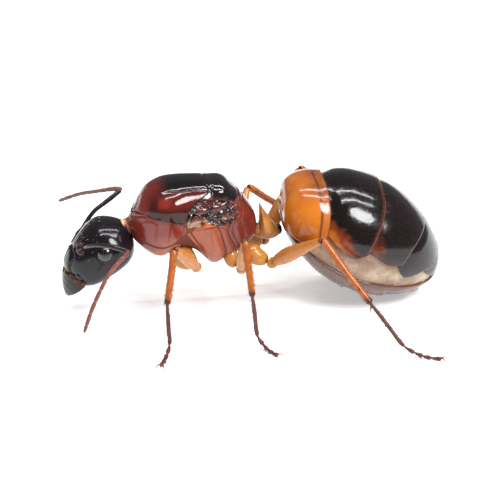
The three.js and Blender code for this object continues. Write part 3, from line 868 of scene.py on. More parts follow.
for name, side in SIDES:
    grid, normal, marks = lay(f"scar_{name}", scar, "membrane", "mesopleuron", TRUNK, 6, 47, SCAR_FRONT,
                              SCAR_REAR, side=side, swell=crumple, rim=0.05)

    def scar_seat(s, turn):
        """The point and normal of the scar at a place along and round the trunk."""
        gap = np.hypot(marks["s"] - s, (marks["turn"] - turn) / 90)
        seat = np.unravel_index(gap.argmin(), gap.shape)
        return grid[seat], normal[seat]

    for index, (s, turn, long, wide, lean) in enumerate(SCLERITES):
        seat, up = scar_seat(s, turn)
        lead = np.cross(np.cross(up, REARWARD), up)
        beside = np.cross(up, lead)
        lean = np.radians(lean)
        axes = [long * (np.cos(lean) * lead + np.sin(lean) * beside), SCLERITE_THICK * up,
                wide * (np.cos(lean) * beside - np.sin(lean) * lead)]
        fit(build(f"sclerite_{name}_{index + 1}", *wrap(dome(seat + 0.01 * up, axes, 26, 34))),
            sclerite, "back_shell", "mesopleuron")
    for index, (s, turn, thick) in enumerate(STUBS):
        seat, up = scar_seat(s, turn)
        route = [seat - 0.1 * up, seat + 0.08 * up, seat + 0.14 * up + 0.12 * REARWARD]
        rings = limb(route, [0.15, 0.13, thick], [0.1, 0.07, 0.03], rows=30, around=40)[0]
        fit(build(f"wing_stub_{name}_{index + 1}", *wrap(rings)), stub, "membrane", "mesopleuron")


# ---- Waist ------------------------------------------------------------------------------------------
# The waist is one upright, wedge-shaped scale on a short stalk, amber and thin at its crest,
# with a dark hard ring where it hinges on the trunk and on the gaster.

SCALE_FOOT = np.array([0.78, 0.0, 3.24])
SCALE_CREST = np.array([0.44, 0.0, 4.98])
SCALE_BEHIND = [0.6, 0.54, 0.36, 0.17, 0.05]
SCALE_BEFORE = [0.42, 0.34, 0.2, 0.1, 0.05]
SCALE_HALF = [0.42, 0.56, 0.62, 0.55, 0.4]
STALK = [(0.1, 0.0, 3.74), (0.8, 0.0, 3.55), (1.4, 0.0, 3.62)]
WAIST_RINGS = [((0.34, 0.0, 3.8), (0.56, 0.0, 3.72), 0.42), ((1.2, 0.0, 3.6), (1.5, 0.0, 3.64), 0.34)]


def height_band(paint, low, high):
    """1 between two heights and 0 beyond them, over a quarter of a millimetre."""
    return paint.step(paint.z, low - 0.25, low) * paint.fade(paint.z, high, high + 0.25)


scale_lead = SCALE_CREST - SCALE_FOOT
scale_rise = np.cross(scale_lead, LEFT) / np.linalg.norm(scale_lead)
scale = region(SCALE_FOOT, scale_lead, LEFT, scale_rise, [0, 0], SCALE_BEHIND, SCALE_BEFORE,
               SCALE_HALF, 5)
scale_s = steps(112)[1:-1, None]
scale_grid = scale(scale_s, circle(110))
scale_normal = normals(scale_grid, closed=True)
waist = Paint("waist_shell", Coat_Weight=0.15, Coat_Roughness=0.05)
waist.ground(waist.noise(2.0, 3.0), (150, 80, 26), (186, 116, 48))
# A pale band across the lower scale, between two heights, is painted sheen.
waist_sheen_band = height_band(waist, 3.75, 4.3) * 0.4
waist.over(waist_sheen_band, (204, 148, 84))
waist.over(waist.mark("crest"), (112, 56, 30))
waist.done(0.24 + 0.12 * waist.noise(9.0), waist.cells(24.0), 0.0015)
crest = smooth(0.88, 0.99, scale_s) * 0.8 + 0 * scale_grid[..., 0]
fit(build("waist_scale", *wrap(scale_grid, {"crest": crest})), waist, "amber_shell", "petiole")
stalk_rings = limb(STALK, [0.3, 0.34, 0.4, 0.34, 0.24], rows=60, around=60)[0]
fit(build("waist_stalk", *wrap(stalk_rings)), waist, "amber_shell", "petiole")
for index, (front, back, radius) in enumerate(WAIST_RINGS):
    rings = limb([front, back], [radius, radius], rows=30, around=60)[0]
    fit(build(f"waist_ring_{index + 1}", *wrap(rings)), sclerite, "back_shell", "petiole")


# ---- Gaster: the swollen skin under its plates ----------------------------------------------------
# The gaster is one pale elastic bag. Where a well-fed queen stretches it, its skin shows as a
# cream band between the back plates and the belly plates.

GASTER_MIDDLE = [4.85, 4.34, 3.88, 3.5, 3.18, 2.9, 2.62, 2.24, 1.86]
GASTER_UP = 2.95
GASTER_DOWN = 2.82
GASTER_HALF = 3.0
GASTER_SEAMS = [((3.2, 6.6), (2.2, 2.0)), ((6.25, 5.8), (4.3, 1.2)), ((8.1, 4.2), (6.0, 0.6)),
                ((8.84, 2.6), (7.5, 0.3))]
GASTER = region(np.array([1.24, 0, 0]), np.array([7.71, 0, 0]), LEFT, UP, GASTER_MIDDLE,
                [GASTER_UP, GASTER_UP], [GASTER_DOWN, GASTER_DOWN], [GASTER_HALF, GASTER_HALF], 2)

bag = Paint("gaster_skin", Subsurface_Weight=0.1, Subsurface_Scale=0.0003)
bag.ground(bag.step(bag.noise(1.1, 4.0), 0.35, 0.65), (174, 154, 130), (142, 116, 96))
bag.over(bag.fade(bag.x, 3.0, 5.6) * 0.55, (128, 82, 58))
bag_height = bag.z + 0.34 * bag.x + 0.5 * bag.noise(2.0, 3.0)
bag.over(bag.step(bag_height, 4.55, 5.05) * 0.55, (112, 72, 50))
bag.over(bag.fade(bag_height, 3.75, 4.1) * 0.5, (120, 84, 60))
bag_blotches = bag.step(bag.noise(1.7, 4.0, (1, 1, 2)), 0.5, 0.64) * 0.4
bag.over(bag_blotches, (122, 88, 62))
bag_creases = bag.noise(2.4, 4.0, (6, 1, 1))
bag.done(0.35 + 0.2 * bag.noise(5.0), bag_creases, 0.06)
bag_s, bag_turn = steps(132)[1:-1, None], circle(150)
bag_grid = GASTER(bag_s, bag_turn)
bag_depth = 0.13 + 0.25 * smooth(0.45, 0.9, np.sin(bag_turn))
bag_depth = bag_depth + 0.22 * bell(bag_s - 0.28, 0.09) * smooth(-0.12, 0.25, np.sin(bag_turn))
bag_grid = bag_grid - bag_depth[..., None] * normals(bag_grid, closed=True)
fit(build("gaster_skin", *wrap(bag_grid)), bag, "membrane", *(f"gaster_{k}" for k in range(1, 6)))


# ---- Gaster plates --------------------------------------------------------------------------------
# Five back plates and five belly plates, each tucked at its front under the thin, see-through
# rim of the one before. Amber at the waist, then black, with brown rims.


def ring_seam(index):
    """The s where a leaning plane of GASTER_SEAMS cuts the region at a turn, by halving."""
    (x0, z0), (x1, z1) = GASTER_SEAMS[index]
    across = np.array([z0 - z1, 0, x1 - x0])

    def place(turn):
        low, high = np.zeros_like(turn, float), np.ones_like(turn, float)
        for _ in range(30):
            middle = (low + high) / 2
            behind = (GASTER(middle, np.radians(turn)) - [x0, 0, z0]) @ across > 0
            low, high = np.where(behind, low, middle), np.where(behind, middle, high)
        return low
    return place


TUCK = 0.055
BACK_RIMS = [
    seam((-50, 0.2), (-20, 0.225), (0, 0.245), (20, 0.272), (34, 0.286), (60, 0.29), (90, 0.274)),
    seam((-40, 0.4), (-20, 0.44), (4, 0.498), (33, 0.59), (45, 0.616), (57, 0.634), (90, 0.63)),
    seam((-40, 0.6), (-20, 0.66), (-1, 0.714), (10, 0.76), (27, 0.822), (46, 0.872), (60, 0.89),
         (76, 0.903), (90, 0.905)), ring_seam(3)]
back_ends = [level(0.0015), *BACK_RIMS, level(0.9985)]
belly_ends = [level(0.0015), *(ring_seam(k) for k in range(4)), level(0.9985)]
TERGITE_EDGES = [[-42, -38, -28, -16, -6, 4], [8, 8, 3, -2, -3, 4], [8, 5.5, 2.5, -2, -4, -2],
                 [4, -8, -18, -15, -9, -8], [-10, -17, -24, -29, -30, -30]]
STERNITE_EDGES = [[-47, -42, -36, -32], [-32, -31, -31], [-31, -31, -33], [-34, -36, -37],
                  [-38, -42, -42]]


def tucked(marks, depth=0.13, lift=0.03):
    """Sinks the front of a plate below the rim before it, and lifts the rest to its own rim."""
    return lift * smooth(0.5, 1.8, marks["fore"]) - depth * smooth(1.1, 0.3, marks["fore"])


def nipped(index):
    """As tucked, and where the first plate meets the second both dip, gently along the back
    and more sharply on the sides."""
    def swell(marks):
        back = smooth(40, 85, marks["turn"])
        flank = smooth(-5, 25, marks["turn"]) * (1 - back)
        gentle = bell(marks["rear"], 1.4) if index == 0 else smooth(1.9, 0.5, marks["fore"])
        sharp = bell(marks["rear"], 0.45) if index == 0 else smooth(1.3, 0.4, marks["fore"])
        front = tucked(marks) if index < 2 else tucked(marks, 0.055, 0.0)
        return front - (0.16 * gentle * back + 0.19 * sharp * flank) * (index < 2)
    return swell


def under(rim, index):
    """The front of a plate: a little ahead of the rim that covers it, but for the first."""
    return rim if index == 0 else lambda turn: rim(turn) - TUCK


def amber_step(paint):
    """The share of black on the second plate: its amber front ends along a slanting line."""
    return paint.step(paint.mark("s") - amber_line(paint), -0.01, 0.07)


def amber_line(paint):
    """The s where the amber ends: farther back low on the flank, and wandering with noise."""
    line = 0.2 + 0.19 * paint.fade(paint.mark("turn"), -2, 48)
    return line + 0.16 * (paint.noise(1.9, 3.0) - 0.5)


def brown_step(paint):
    """The red-brown haze before the black, which fills the whole plate higher up its side."""
    haze = paint.step(paint.mark("s") - amber_line(paint), -0.09, 0.0)
    above = paint.step(paint.mark("turn") + 16 * paint.noise(2.0, 3.0), 20, 36)
    return haze + above * (1 - haze) * 0.85


def old_seam(paint):
    """A dark wandering line: the next plate's front edge, seen through the first one's rim."""
    return paint.fade(abs(paint.mark("rear") - 0.52 + 0.18 * paint.noise(2.0, 4.0)), 0.02, 0.1) * 0.75


def amber_spot(paint):
    """A broken amber patch low on the front of the third plate."""
    return spot(0.56, 14, 0.05, 13)(paint) * (0.35 + paint.step(paint.noise(2.6, 3.0), 0.4, 0.6))


def ring_rim(reach, share):
    """The brown of a thin rear rim, up to `reach` millimetres wide."""
    return falls("rear", 0.5 * reach, reach, share)


fine_edge = falls("rear", 0.03, 0.06, 0.8)
ring_tones = [
    ((174, 92, 18), (206, 120, 34), [(rises("turn", 24, 60, 0.85), (150, 78, 30)),
     (falls("turn", -20, 20, 0.6), (150, 68, 24)), (ring_rim(0.66, 0.55), (140, 74, 44)),
     (times(rises("s", 0.13, 0.23), rises("turn", 44, 66), 0.75), (100, 48, 20)),
     (lambda paint: paint.step(paint.noise(1.1, 3.0), 0.5, 0.66) * 0.15, (214, 138, 50)),
     (old_seam, (74, 30, 18)), (fine_edge, (84, 40, 26))]),
    ((156, 84, 26), (184, 104, 34), [(brown_step, (112, 44, 20)), (amber_step, (16, 9, 10)),
     (falls("turn", -3, 8, 0.4), (92, 56, 44)), (ring_rim(0.24, 0.6), (78, 34, 28)),
     (fine_edge, (134, 76, 56))]),
    ((15, 8, 9), (24, 14, 16), [(amber_spot, (88, 38, 20)), (falls("turn", -4, 8, 0.3), (92, 66, 54)),
     (ring_rim(0.16, 0.5), (60, 40, 36)), (fine_edge, (150, 112, 84))]),
    ((15, 8, 9), (24, 14, 16), [(falls("turn", -22, 0, 0.22), (98, 84, 78)),
     (ring_rim(0.16, 0.6), (70, 52, 46)), (fine_edge, (150, 112, 84))]),
    ((14, 11, 11), (26, 20, 20), [(falls("turn", -28, -8, 0.5), (110, 90, 80)),
     (ring_rim(0.25, 0.8), (150, 116, 90))]),
]


def belly_brown(paint):
    """A brown band along the top of the belly plates, with a wandering lower edge."""
    return paint.step(paint.mark("turn") + 9 * paint.noise(1.6, 3.0), -43, -31) * 0.55


# The last patch darkens the belly plates towards the underside: painted shade.
sternite_paint = cuticle("sternite_shell", (78, 60, 60), (112, 90, 86), [
    (falls("rear", 0.1, 0.5, 0.5), (136, 102, 82)),
    (lambda paint: paint.step(paint.noise(0.9, 2.0), 0.5, 0.62) * 0.6, (112, 64, 36)),
    (belly_brown, (96, 56, 38)), (falls("turn", -70, -45, 0.7), (58, 42, 40))], shine=0.3)

for index, tones in enumerate(ring_tones):
    number = index + 1
    paint = cuticle(f"ring_shell_{number}", *tones, grain=0.0004, rough=0.13, shine=0.25, coat=0.3,
                    wave=30.0)
    lay(f"tergite_{number}", paint, "gaster_shell", f"gaster_{number}", GASTER, TERGITE_EDGES[index],
        90, under(back_ends[index], index), back_ends[number], mirror=True, rim=0.045, wall=0.1,
        rows=84, across=230, swell=nipped(index))
    lay(f"sternite_{number}", sternite_paint, "gaster_shell", f"gaster_{number}", GASTER,
        STERNITE_EDGES[index], -90, under(belly_ends[index], index), belly_ends[number], mirror=True,
        rim=0.045, wall=0.08, rows=70, across=160, swell=lambda m: 0.5 * tucked(m) - 0.03)


# ---- Legs -----------------------------------------------------------------------------------------
# Each leg is a coxa, a short trochanter, a long thigh, a shin with its spur, and a foot of five
# segments that ends in two claws. Amber and smooth near the body, red-brown at the feet.

LEGS = {
    "left_fore": [(-3.6, -0.8, 3.5), (-2.68, -1.12, 2.56), (-2.7, -1.32, 2.55), (-3.93, -3.5, 4.54),
                  (-4.44, -4.65, 2.34), (-4.38, -4.95, 0.5), (-4.9, -6.2, 0.1)],
    "left_mid": [(-1.05, -0.6, 3.1), (-0.76, -1.06, 2.36), (-0.58, -1.28, 2.3), (-0.72, -3.5, 4.76),
                 (-0.54, -4.65, 2.47), (-0.32, -4.75, 0.55), (0.42, -5.95, 0.1)],
    "left_hind": [(-0.2, -0.6, 3.1), (0.7, -1.02, 2.52), (0.86, -1.28, 2.5), (2.82, -3.5, 4.55),
                  (4.81, -5.3, 2.07), (6.12, -6.6, 0.5), (7.7, -7.35, 0.1)],
    "right_fore": [(-3.6, 0.8, 3.5), (-2.7, 1.12, 2.6), (-2.72, 1.32, 2.6), (-3.1, 3.3, 4.4),
                   (-3.2, 4.6, 2.2), (-3.0, 5.0, 0.5), (-3.0, 6.4, 0.1)],
    "right_mid": [(-1.05, 0.6, 3.1), (-0.76, 1.06, 2.38), (-0.56, 1.26, 2.35), (0.3, 3.0, 4.45),
                  (2.2, 4.1, 2.75), (3.2, 5.3, 0.55), (4.2, 6.45, 0.1)],
    "right_hind": [(-0.2, 0.6, 3.1), (0.7, 1.02, 2.54), (0.86, 1.28, 2.52), (2.82, 3.35, 5.1),
                   (5.1, 5.0, 2.9), (6.3, 6.1, 0.6), (7.6, 7.3, 0.1)],
}
COXAE = {"fore": [0.42, 0.54, 0.58, 0.52, 0.4, 0.27], "mid": [0.27, 0.33, 0.35, 0.32, 0.27, 0.22],
         "hind": [0.32, 0.4, 0.43, 0.4, 0.33, 0.26]}
THIGHS = {"fore": [0.22, 0.28, 0.31, 0.3, 0.26, 0.2, 0.15],
          "mid": [0.22, 0.27, 0.29, 0.27, 0.23, 0.19, 0.15],
          "hind": [0.2, 0.29, 0.36, 0.34, 0.27, 0.2, 0.14]}
SHIN_RADIUS = [0.1, 0.14, 0.165, 0.17, 0.165, 0.155, 0.15, 0.15]
FOOT_PARTS = [0.0, 0.5, 0.64, 0.75, 0.85, 1.0]
FOOT_THICK = 0.09
SPURS = {"fore": [(0.34, 0.6)], "mid": [(0.3, 0.5)], "hind": [(0.42, 0.5), (0.26, -0.5)]}
CLAW = 0.28
TROCHANTER = [0.22, 0.27, 0.25, 0.22]
SPUR_RADIUS = [0.036, 0.028, 0.01]
CLAW_RADIUS = [0.04, 0.032, 0.02, 0.006]
SOLE_HEIGHT, FOOT_CLEAR, CLAW_CLEAR = 0.13, 0.004, 0.002


def limb_paint(name, dark, pale, end_tone, rough=0.2):
    """Limb cuticle: soft tones, darker towards its marked ends, with faint lengthwise net."""
    paint = Paint(name, Coat_Weight=0.1, Coat_Roughness=0.06, Specular_IOR_Level=0.3)
    paint.ground(paint.noise(2.5, 3.0), dark, pale)
    paint.over(paint.mark("ends"), end_tone)
    net = paint.cells(24.0) + paint.noise(40.0, 3.0)
    return paint.done(rough + 0.15 * paint.noise(9.0), net, 0.0007)


coxa_paint = limb_paint("coxa_shell", (152, 92, 34), (192, 134, 64), (72, 32, 18), 0.12)
thigh_paint = limb_paint("thigh_shell", (158, 92, 38), (192, 130, 68), (76, 34, 20), 0.15)
shin_paint = limb_paint("shin_shell", (146, 74, 30), (176, 98, 42), (66, 30, 24))
foot_paint = limb_paint("foot_shell", (66, 30, 27), (100, 52, 44), (52, 24, 22), rough=0.3)
claw_paint = limb_paint("claw_shell", (88, 40, 30), (132, 70, 44), (40, 20, 18))


def foot_radius(t):
    """Radius along the foot: five segments, each a narrow root widening to a lobed end."""
    part = np.clip(np.searchsorted(FOOT_PARTS, t, side="right") - 1, 0, 4)
    starts, ends = np.take(FOOT_PARTS, part), np.take(FOOT_PARTS, part + 1)
    inside = (t - starts) / (ends - starts)
    shaft = 0.78 + 0.3 * smooth(0, 0.5, inside) * smooth(1.0, 0.97, inside)
    lobe = 0.52 + 0.6 * smooth(0, 0.8, inside) * smooth(1.0, 0.94, inside)
    return FOOT_THICK * np.where(part == 0, shaft, lobe)


def leg_part(name, node, paint, slot, made, ends=None):
    """Finishes one piece of a leg. `ends` marks its two ends by the root's share, the far end's
    share, and how much of the length each mark takes; such a piece is kept for the hairs."""
    rings, t = made
    marks = None
    if ends:
        first, last, near, far = ends
        shares = first * smooth(near, 0.3 * near, t) + last * smooth(1 - far, 1 - 0.3 * far, t)
        marks = {"ends": shares[:, None] + np.zeros(rings.shape[1])}
        limbs[node] = rings
    fit(build(name, *wrap(rings, marks)), paint, slot, node)


def unit(way):
    """A direction divided by its length."""
    return way / np.linalg.norm(way)


for leg, joints in LEGS.items():
    root, coxa, hip, knee, ankle, heel, toe = np.array(joints, float)
    pair = leg.split("_")[1]
    outward = np.array([0.0, -1.0 if leg.startswith("left") else 1.0, 0.0])
    thigh_way, shin_way, ahead = unit(knee - hip), unit(ankle - knee), unit((toe - heel) * [1, 1, 0])

    belly = root * 0.5 + coxa * 0.5 + 0.06 * outward - 0.1 * UP - 0.08 * REARWARD
    leg_part(f"{leg}_coxa", f"{leg}_coxa", coxa_paint, "amber_shell",
             limb([root, belly, coxa], COXAE[pair], rows=56, around=46), (0.3, 1.0, 0.05, 0.15))
    inner = coxa * 0.7 + hip * 0.3
    route = [inner, hip, hip + 0.3 * thigh_way]
    leg_part(f"{leg}_trochanter", f"{leg}_femur", coxa_paint, "amber_shell",
             limb(route, TROCHANTER, rows=40, around=44), (0.8, 0.8, 0.2, 0.15))
    bulge = hip * 0.55 + knee * 0.45 + 0.05 * UP
    route = [hip + 0.17 * thigh_way, bulge, knee]
    leg_part(f"{leg}_thigh", f"{leg}_femur", thigh_paint, "amber_shell",
             limb(route, THIGHS[pair], rows=76, around=42), (1, 1, 0.09, 0.07))

    start = knee + 0.05 * shin_way + 0.03 * thigh_way
    route = [start, start + 0.25 * shin_way + 0.03 * thigh_way,
             (knee + ankle) / 2 + 0.03 * outward, ankle]
    leg_part(f"{leg}_shin", f"{leg}_tibia", shin_paint, "amber_shell",
             limb(route, SHIN_RADIUS, rows=84, around=36), (0.9, 1.0, 0.13, 0.14))
    beside = unit(np.cross(shin_way, UP))
    inward = np.cross(beside, shin_way)
    for index, (long, spread) in enumerate(SPURS[pair]):
        tip = ankle + long * (0.7 * shin_way - 0.75 * inward + 0.4 * spread * beside)
        route = [ankle - 0.06 * shin_way, (ankle + tip) / 2 + 0.02 * inward, tip]
        leg_part(f"{leg}_spur_{index + 1}", f"{leg}_tibia", claw_paint, "wine_shell",
                 limb(route, SPUR_RADIUS, rows=24, around=14))

    sole = heel * 0.5 + toe * 0.5
    sole[2] = SOLE_HEIGHT
    route = [ankle - 0.04 * shin_way, (ankle + heel) / 2, heel, sole, toe]
    rings, t = limb(route, foot_radius, rows=230, around=22, crowd=False)
    rings[..., 2] = np.maximum(rings[..., 2], FOOT_CLEAR)
    leg_part(f"{leg}_foot", f"{leg}_tarsus", foot_paint, "wine_shell", (rings, t),
             (0.5, 0.2, 0.04, 0.04))

    for index, turn in enumerate((1, -1)):
        out = np.cross(ahead, UP) * turn
        route = [toe - 0.05 * ahead, toe + CLAW * (0.4 * ahead + 0.35 * out + 0.3 * UP),
                 toe + CLAW * (0.85 * ahead + 0.6 * out),
                 toe + CLAW * (1.0 * ahead + 0.55 * out - 0.42 * UP)]
        rings, t = limb(route, CLAW_RADIUS, rows=36, around=16)
        rings[..., 2] = np.maximum(rings[..., 2], CLAW_CLEAR)
        leg_part(f"{leg}_claw_{index + 1}", f"{leg}_tarsus", claw_paint, "wine_shell", (rings, t))


# ---- Hairs ------------------------------------------------------------------------------------------
# A thin coat of tapered hairs, rooted in the shell and leaning back along it: short and flat on
# face and feelers, longer over the gaster, stiff on shins and feet, golden and long at the mouth.

HAIR_RINGS = 4
LENGTHS, LIFTS, STRAY = (0.6, 1.15), (0.6, 1.3), 0.22
SAG = 0.35
ROOT_DEPTH = 0.006
TIP_THINNING = 0.8
FLOOR_CLEAR = 0.003
PATCH, MAP_MARGIN = 0.003, 0.02
GOLD, PALE, DUSK, RUST = (196, 142, 76), (206, 196, 186), (92, 80, 72), (118, 62, 38)


def grow(rng, grid, normal, weight, count, long, thick, lift, lie):
    """Points of three-sided hairs, and where on the grid each is rooted, from 0 to 1. Along a
    hair t runs 0 to 1: it leaves at `lift`, sags by SAG * t squared of its length and thins as
    1 - TIP_THINNING * t to a point."""
    along, across = np.gradient(grid, axis=0), np.gradient(grid, axis=1)
    area = np.linalg.norm(np.cross(along, across), axis=-1) * weight
    chosen = rng.choice(area.size, count, p=area.ravel() / area.sum())
    i, j = np.unravel_index(chosen, area.shape)
    a, b = rng.uniform(-0.5, 0.5, (2, count, 1))
    root = grid[i, j] + a * along[i, j] + b * across[i, j]
    out = normal[i, j]
    way = along[i, j] if lie is None else np.broadcast_to(lie, out.shape)
    way = way - (way * out).sum(1, keepdims=True) * out
    way /= np.maximum(np.linalg.norm(way, axis=1, keepdims=True), 1e-9)
    way = way + rng.normal(0, STRAY, (count, 1)) * np.cross(out, way)
    way /= np.linalg.norm(way, axis=1, keepdims=True)
    beside = np.cross(way, out)[:, None]
    size = (long * rng.uniform(*LENGTHS, count))[:, None, None]
    up = np.radians(lift * rng.uniform(*LIFTS, count))[:, None, None]
    t = np.linspace(0, 1, HAIR_RINGS + 1)[:, None]
    climb = np.sin(up) * t - SAG * np.sin(up) * t ** 2
    way, rise = way[:, None], out[:, None]
    spine = root[:, None] - ROOT_DEPTH * rise + size * (np.cos(up) * t * way + climb * rise)
    turn = circle(3)[None, :, None]
    edge = np.cos(turn) * beside + np.sin(turn) * rise
    tube = spine[:, :-1, None] + thick * (1 - TIP_THINNING * t[:-1, None]) * edge[:, None]
    points = np.concatenate([tube.reshape(count, -1, 3), spine[:, -1:]], 1)
    points[..., 2] = np.maximum(points[..., 2], FLOOR_CLEAR)
    rows, columns = area.shape
    return points, np.stack([(j + b[:, 0] + 0.5) / columns, (i + a[:, 0] + 0.5) / rows], 1)


def coat(name, fields, tone, nodes, seed):
    """A mesh of hairs. Each field gives a grid, its normals, weights over it, how many hairs,
    their length, radius and lift in degrees, and the way they lie (None follows the grid).
    Each field has a square of the OFBake map, and each hair a small patch of that square."""
    rng = np.random.default_rng(seed)
    squares = int(np.ceil(np.sqrt(len(fields))))
    up_hair, round_hair = np.mgrid[0:HAIR_RINGS, 0:3].reshape(2, -1)
    inside = np.stack([round_hair / 2, up_hair / HAIR_RINGS], 1)
    inside = np.append(inside, [[0.5, 1.0]], 0)
    all_points, all_spots = [], []
    for index, field in enumerate(fields):
        points, place = grow(rng, *field)
        square = np.array([index % squares, index // squares])
        place = (square + MAP_MARGIN + (1 - 2 * MAP_MARGIN) * place) / squares
        all_points.append(points)
        all_spots.append(np.clip(place[:, None] + (inside - 0.5) * PATCH, 0, 1))
    points, spots = np.concatenate(all_points), np.concatenate(all_spots)
    hair_count, size = points.shape[:2]
    first = (np.arange(hair_count) * size)[:, None, None]
    ring, side = np.mgrid[0:HAIR_RINGS - 1, 0:3].reshape(2, -1) * [[3], [1]]
    after = (side + 1) % 3
    quads = np.stack([ring + side, ring + after, ring + 3 + after, ring + 3 + side], 1)
    a, b, c, tip = np.arange((HAIR_RINGS - 1) * 3, size)
    ends = np.array([[a, b, tip], [b, c, tip], [c, a, tip], [2, 1, 0]])
    faces = [(first + f[None]).reshape(-1, f.shape[1]) for f in (quads, ends)]
    piece = build(name, points.reshape(-1, 3), faces)
    corner = np.empty(len(piece.data.loops), np.int32)
    piece.data.loops.foreach_get("vertex_index", corner)
    layer = piece.data.uv_layers.new(name="OFBake")
    layer.data.foreach_set("uv", spots.reshape(-1, 2)[corner].astype(np.float32).ravel())
    paint = Paint(f"{name}_paint", Specular_IOR_Level=0.4)
    paint.ground(paint.noise(6.0), tuple(0.7 * c for c in tone), tone)
    paint.done(0.35 + 0.2 * paint.noise(5.0), paint.noise(80.0), 0.0003)
    return fit(piece, paint, "hair", *nodes)


def on_plate(name, count, long, thick, lift, lie=REARWARD, where=None):
    """A field of hairs on a plate already made; where(marks) thins it out."""
    _, grid, normal, marks = shells[name]
    weight = np.ones(grid.shape[:2]) if where is None else where(marks)
    return grid, normal, weight * smooth(0.02, 0.06, marks["rim"]), count, long, thick, lift, lie


def on_limb(name, count, long, thick, lift):
    """A field of hairs on a limb already made, bare at its joints."""
    grid = limbs[name]
    t = np.linspace(0, 1, len(grid))[:, None] + np.zeros(grid.shape[1])
    weight = smooth(0.04, 0.1, t) * smooth(0.98, 0.94, t)
    return grid, normals(grid, closed=True), weight, count, long, thick, lift, None


d, o, r = head_places
crown = smooth(-0.4, 0.0, r) * smooth(0.3, 0.5, d) * smooth(3.4, 3.1, d)
away_from_eye = smooth(0.42, 0.5, np.hypot(d - EYE[0], r - EYE[2]))
margin = bell(d - 3.45, 0.14) * smooth(-0.7, -0.4, r) * smooth(0.75, 0.55, np.abs(o))
cheeks = smooth(0.2, 0.5, d) * smooth(3.4, 3.2, d) * away_from_eye
head_field = lambda weight, *hairs: (head_grid, head_normal, weight, *hairs, DOWN)
coat("coat_head", [head_field(cheeks, 1800, 0.055, 0.0028, 12),
                   head_field(smooth(3.2, 3.0, d) * crown, 500, 0.06, 0.0028, 12)], DUSK, ["head"], 11)
coat("coat_crown", [head_field(crown, 60, 0.15, 0.008, 55)], PALE, ["head"], 17)
coat("coat_mouth", [head_field(margin, 170, 0.32, 0.0095, 26)], GOLD, ["head"], 16)

back_rows = lambda m: smooth(0.5, 0.1, m["rear"])
coat("coat_trunk", [
    on_plate("pronotum", 700, 0.08, 0.0028, 12), on_plate("pronotum", 26, 0.2, 0.005, 60),
    on_plate("scutum", 900, 0.07, 0.0028, 12), on_plate("scutum", 46, 0.18, 0.005, 60),
    on_plate("scutellum", 400, 0.08, 0.0028, 12), on_plate("scutellum", 30, 0.22, 0.005, 60),
    on_plate("propodeum", 500, 0.09, 0.0035, 20), on_plate("propodeum", 30, 0.2, 0.005, 55),
    on_plate("mesopleuron", 900, 0.08, 0.0035, 16, REARWARD - UP),
    *(on_plate(f"metapleuron_{name}", 120, 0.08, 0.0035, 18, REARWARD - UP) for name, _ in SIDES),
    *(on_plate(f"propleuron_{name}", 60, 0.12, 0.004, 30, REARWARD - UP) for name, _ in SIDES)],
    RUST, ["pronotum", "scutum", "scutellum", "propodeum", "mesopleuron"], 12)

above = lambda low, high: smooth(low, high, scale_s) + 0 * scale_grid[..., 0]
coat("coat_waist", [(scale_grid, scale_normal, above(0.1, 0.4), 220, 0.09, 0.0035, 25, UP),
                    (scale_grid, scale_normal, above(0.8, 0.95), 16, 0.2, 0.005, 50, UP)],
     GOLD, ["petiole"], 13)

for number in range(1, 6):
    top, belly = f"tergite_{number}", f"sternite_{number}"
    coat(f"coat_gaster_{number}", [
        on_plate(top, 1500, 0.12, 0.0026, 9), on_plate(top, 70, 0.24, 0.005, 42, where=back_rows),
        on_plate(belly, 400, 0.12, 0.003, 12), on_plate(belly, 60, 0.2, 0.0045, 26, where=back_rows)],
        DUSK if number > 1 else GOLD, [f"gaster_{number}"], 20 + number)

for index, leg in enumerate(LEGS):
    coat(f"coat_{leg}", [
        on_limb(f"{leg}_coxa", 130, 0.11, 0.004, 30), on_limb(f"{leg}_femur", 320, 0.08, 0.0035, 18),
        on_limb(f"{leg}_tibia", 420, 0.09, 0.004, 24), on_limb(f"{leg}_tibia", 90, 0.2, 0.016, 56),
        on_limb(f"{leg}_tarsus", 420, 0.1, 0.0045, 32), on_limb(f"{leg}_tarsus", 120, 0.16, 0.015, 56)],
        RUST, [f"{leg}_{part}" for part in ("coxa", "femur", "tibia", "tarsus")], 30 + index)

for index, (name, _) in enumerate(SIDES):
    scape, flagellum = f"scape_{name}", f"flagellum_{name}"
    coat(f"coat_feeler_{name}", [on_limb(scape, 260, 0.055, 0.0035, 20),
                                 on_limb(flagellum, 1500, 0.05, 0.003, 26)],
         RUST, [scape, flagellum], 40 + index)


# ---- Studio -------------------------------------------------------------------------------
# A plain white floor under white surroundings, a broad key lamp high at the camera's right and
# two long thin lamps overhead, with the camera above the animal's left side.

BACK = np.array([-0.1256, -0.8938, 0.4305])
SIGHT_UP = np.array([0.0599, 0.4263, 0.9026])
CAMERA_DISTANCE = 0.15
CAMERA_LIFT = 0.00235
LENS = 229.8
KEY = {"towards": (0.42, -0.5, 0.75), "away": 0.4, "across": 0.16, "watts": 1.8}
TUBES = {"y": (-0.03, 0.075), "z": 0.3, "x": 0.045, "long": 0.39, "wide": 0.008, "watts": 0.6}
SURROUNDINGS = 0.25
FLOOR_SIZE = 4.0
FLOOR_GLOW = 0.4


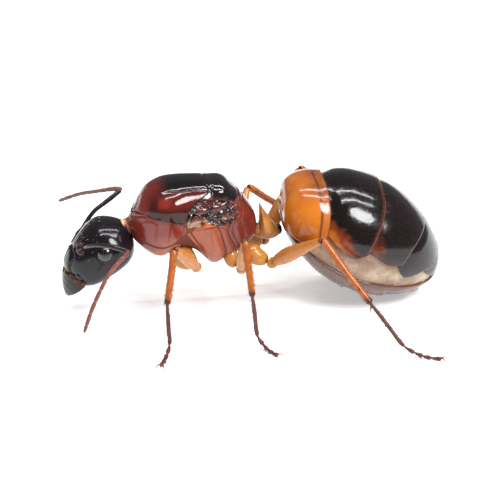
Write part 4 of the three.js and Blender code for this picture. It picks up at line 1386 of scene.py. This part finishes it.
def lamp(name, place, shape, size, size_y, watts, aimed=True):
    """An area lamp at place, facing the origin or straight down, that the camera doesn't see."""
    light = bpy.data.lights.new(name, "AREA")
    light.shape, light.size, light.size_y, light.energy = shape, size, size_y, watts
    body = bpy.data.objects.new(name, light)
    body.location = place
    if aimed:
        body.rotation_euler = body.location.to_track_quat("Z", "Y").to_euler()
    body.visible_camera = False
    bpy.context.scene.collection.objects.link(body)


key_line = np.array(KEY["towards"]) / np.linalg.norm(KEY["towards"])
lamp("key", key_line * KEY["away"], "DISK", KEY["across"], KEY["across"], KEY["watts"])
for index, y in enumerate(TUBES["y"]):
    lamp(f"tube_{index}", (TUBES["x"], y, TUBES["z"]), "RECTANGLE", TUBES["long"], TUBES["wide"],
         TUBES["watts"], aimed=False)

world = bpy.data.worlds.new("surroundings")
world.use_nodes = True
sky = world.node_tree.nodes["Background"]
sky.inputs["Color"].default_value = (1, 1, 1, 1)
seen = world.node_tree.nodes.new("ShaderNodeLightPath")
strength = world.node_tree.nodes.new("ShaderNodeMapRange")
strength.inputs["To Min"].default_value = SURROUNDINGS
world.node_tree.links.new(seen.outputs["Is Camera Ray"], strength.inputs["Value"])
world.node_tree.links.new(strength.outputs["Result"], sky.inputs["Strength"])
bpy.context.scene.world = world

corner = FLOOR_SIZE / 2
floor_mesh = bpy.data.meshes.new("floor")
corners = [(-corner, -corner, 0), (corner, -corner, 0), (corner, corner, 0), (-corner, corner, 0)]
floor_mesh.from_pydata(corners, [], [(0, 1, 2, 3)])
floor = bpy.data.objects.new("floor", floor_mesh)
bpy.context.scene.collection.objects.link(floor)
white = Paint("floor_white", Base_Color=(0.86, 0.87, 0.88, 1), Roughness=0.6, Specular_IOR_Level=0.2,
              Emission_Color=(1, 1, 1, 1), Emission_Strength=FLOOR_GLOW)
floor.data.materials.append(white.material)

camera = bpy.data.objects.new("camera", bpy.data.cameras.new("camera"))
turned = Matrix(np.stack([np.cross(SIGHT_UP, BACK), SIGHT_UP, BACK], 1)).to_4x4()
turned.translation = BACK * CAMERA_DISTANCE + SIGHT_UP * CAMERA_LIFT
camera.matrix_world = turned
camera.data.lens = LENS
camera.data.sensor_width = 36
camera.data.clip_start = 0.005
camera.data.clip_end = 20
bpy.context.scene.collection.objects.link(camera)
bpy.context.scene.camera = camera
bpy.context.scene.view_settings.view_transform = "Standard"
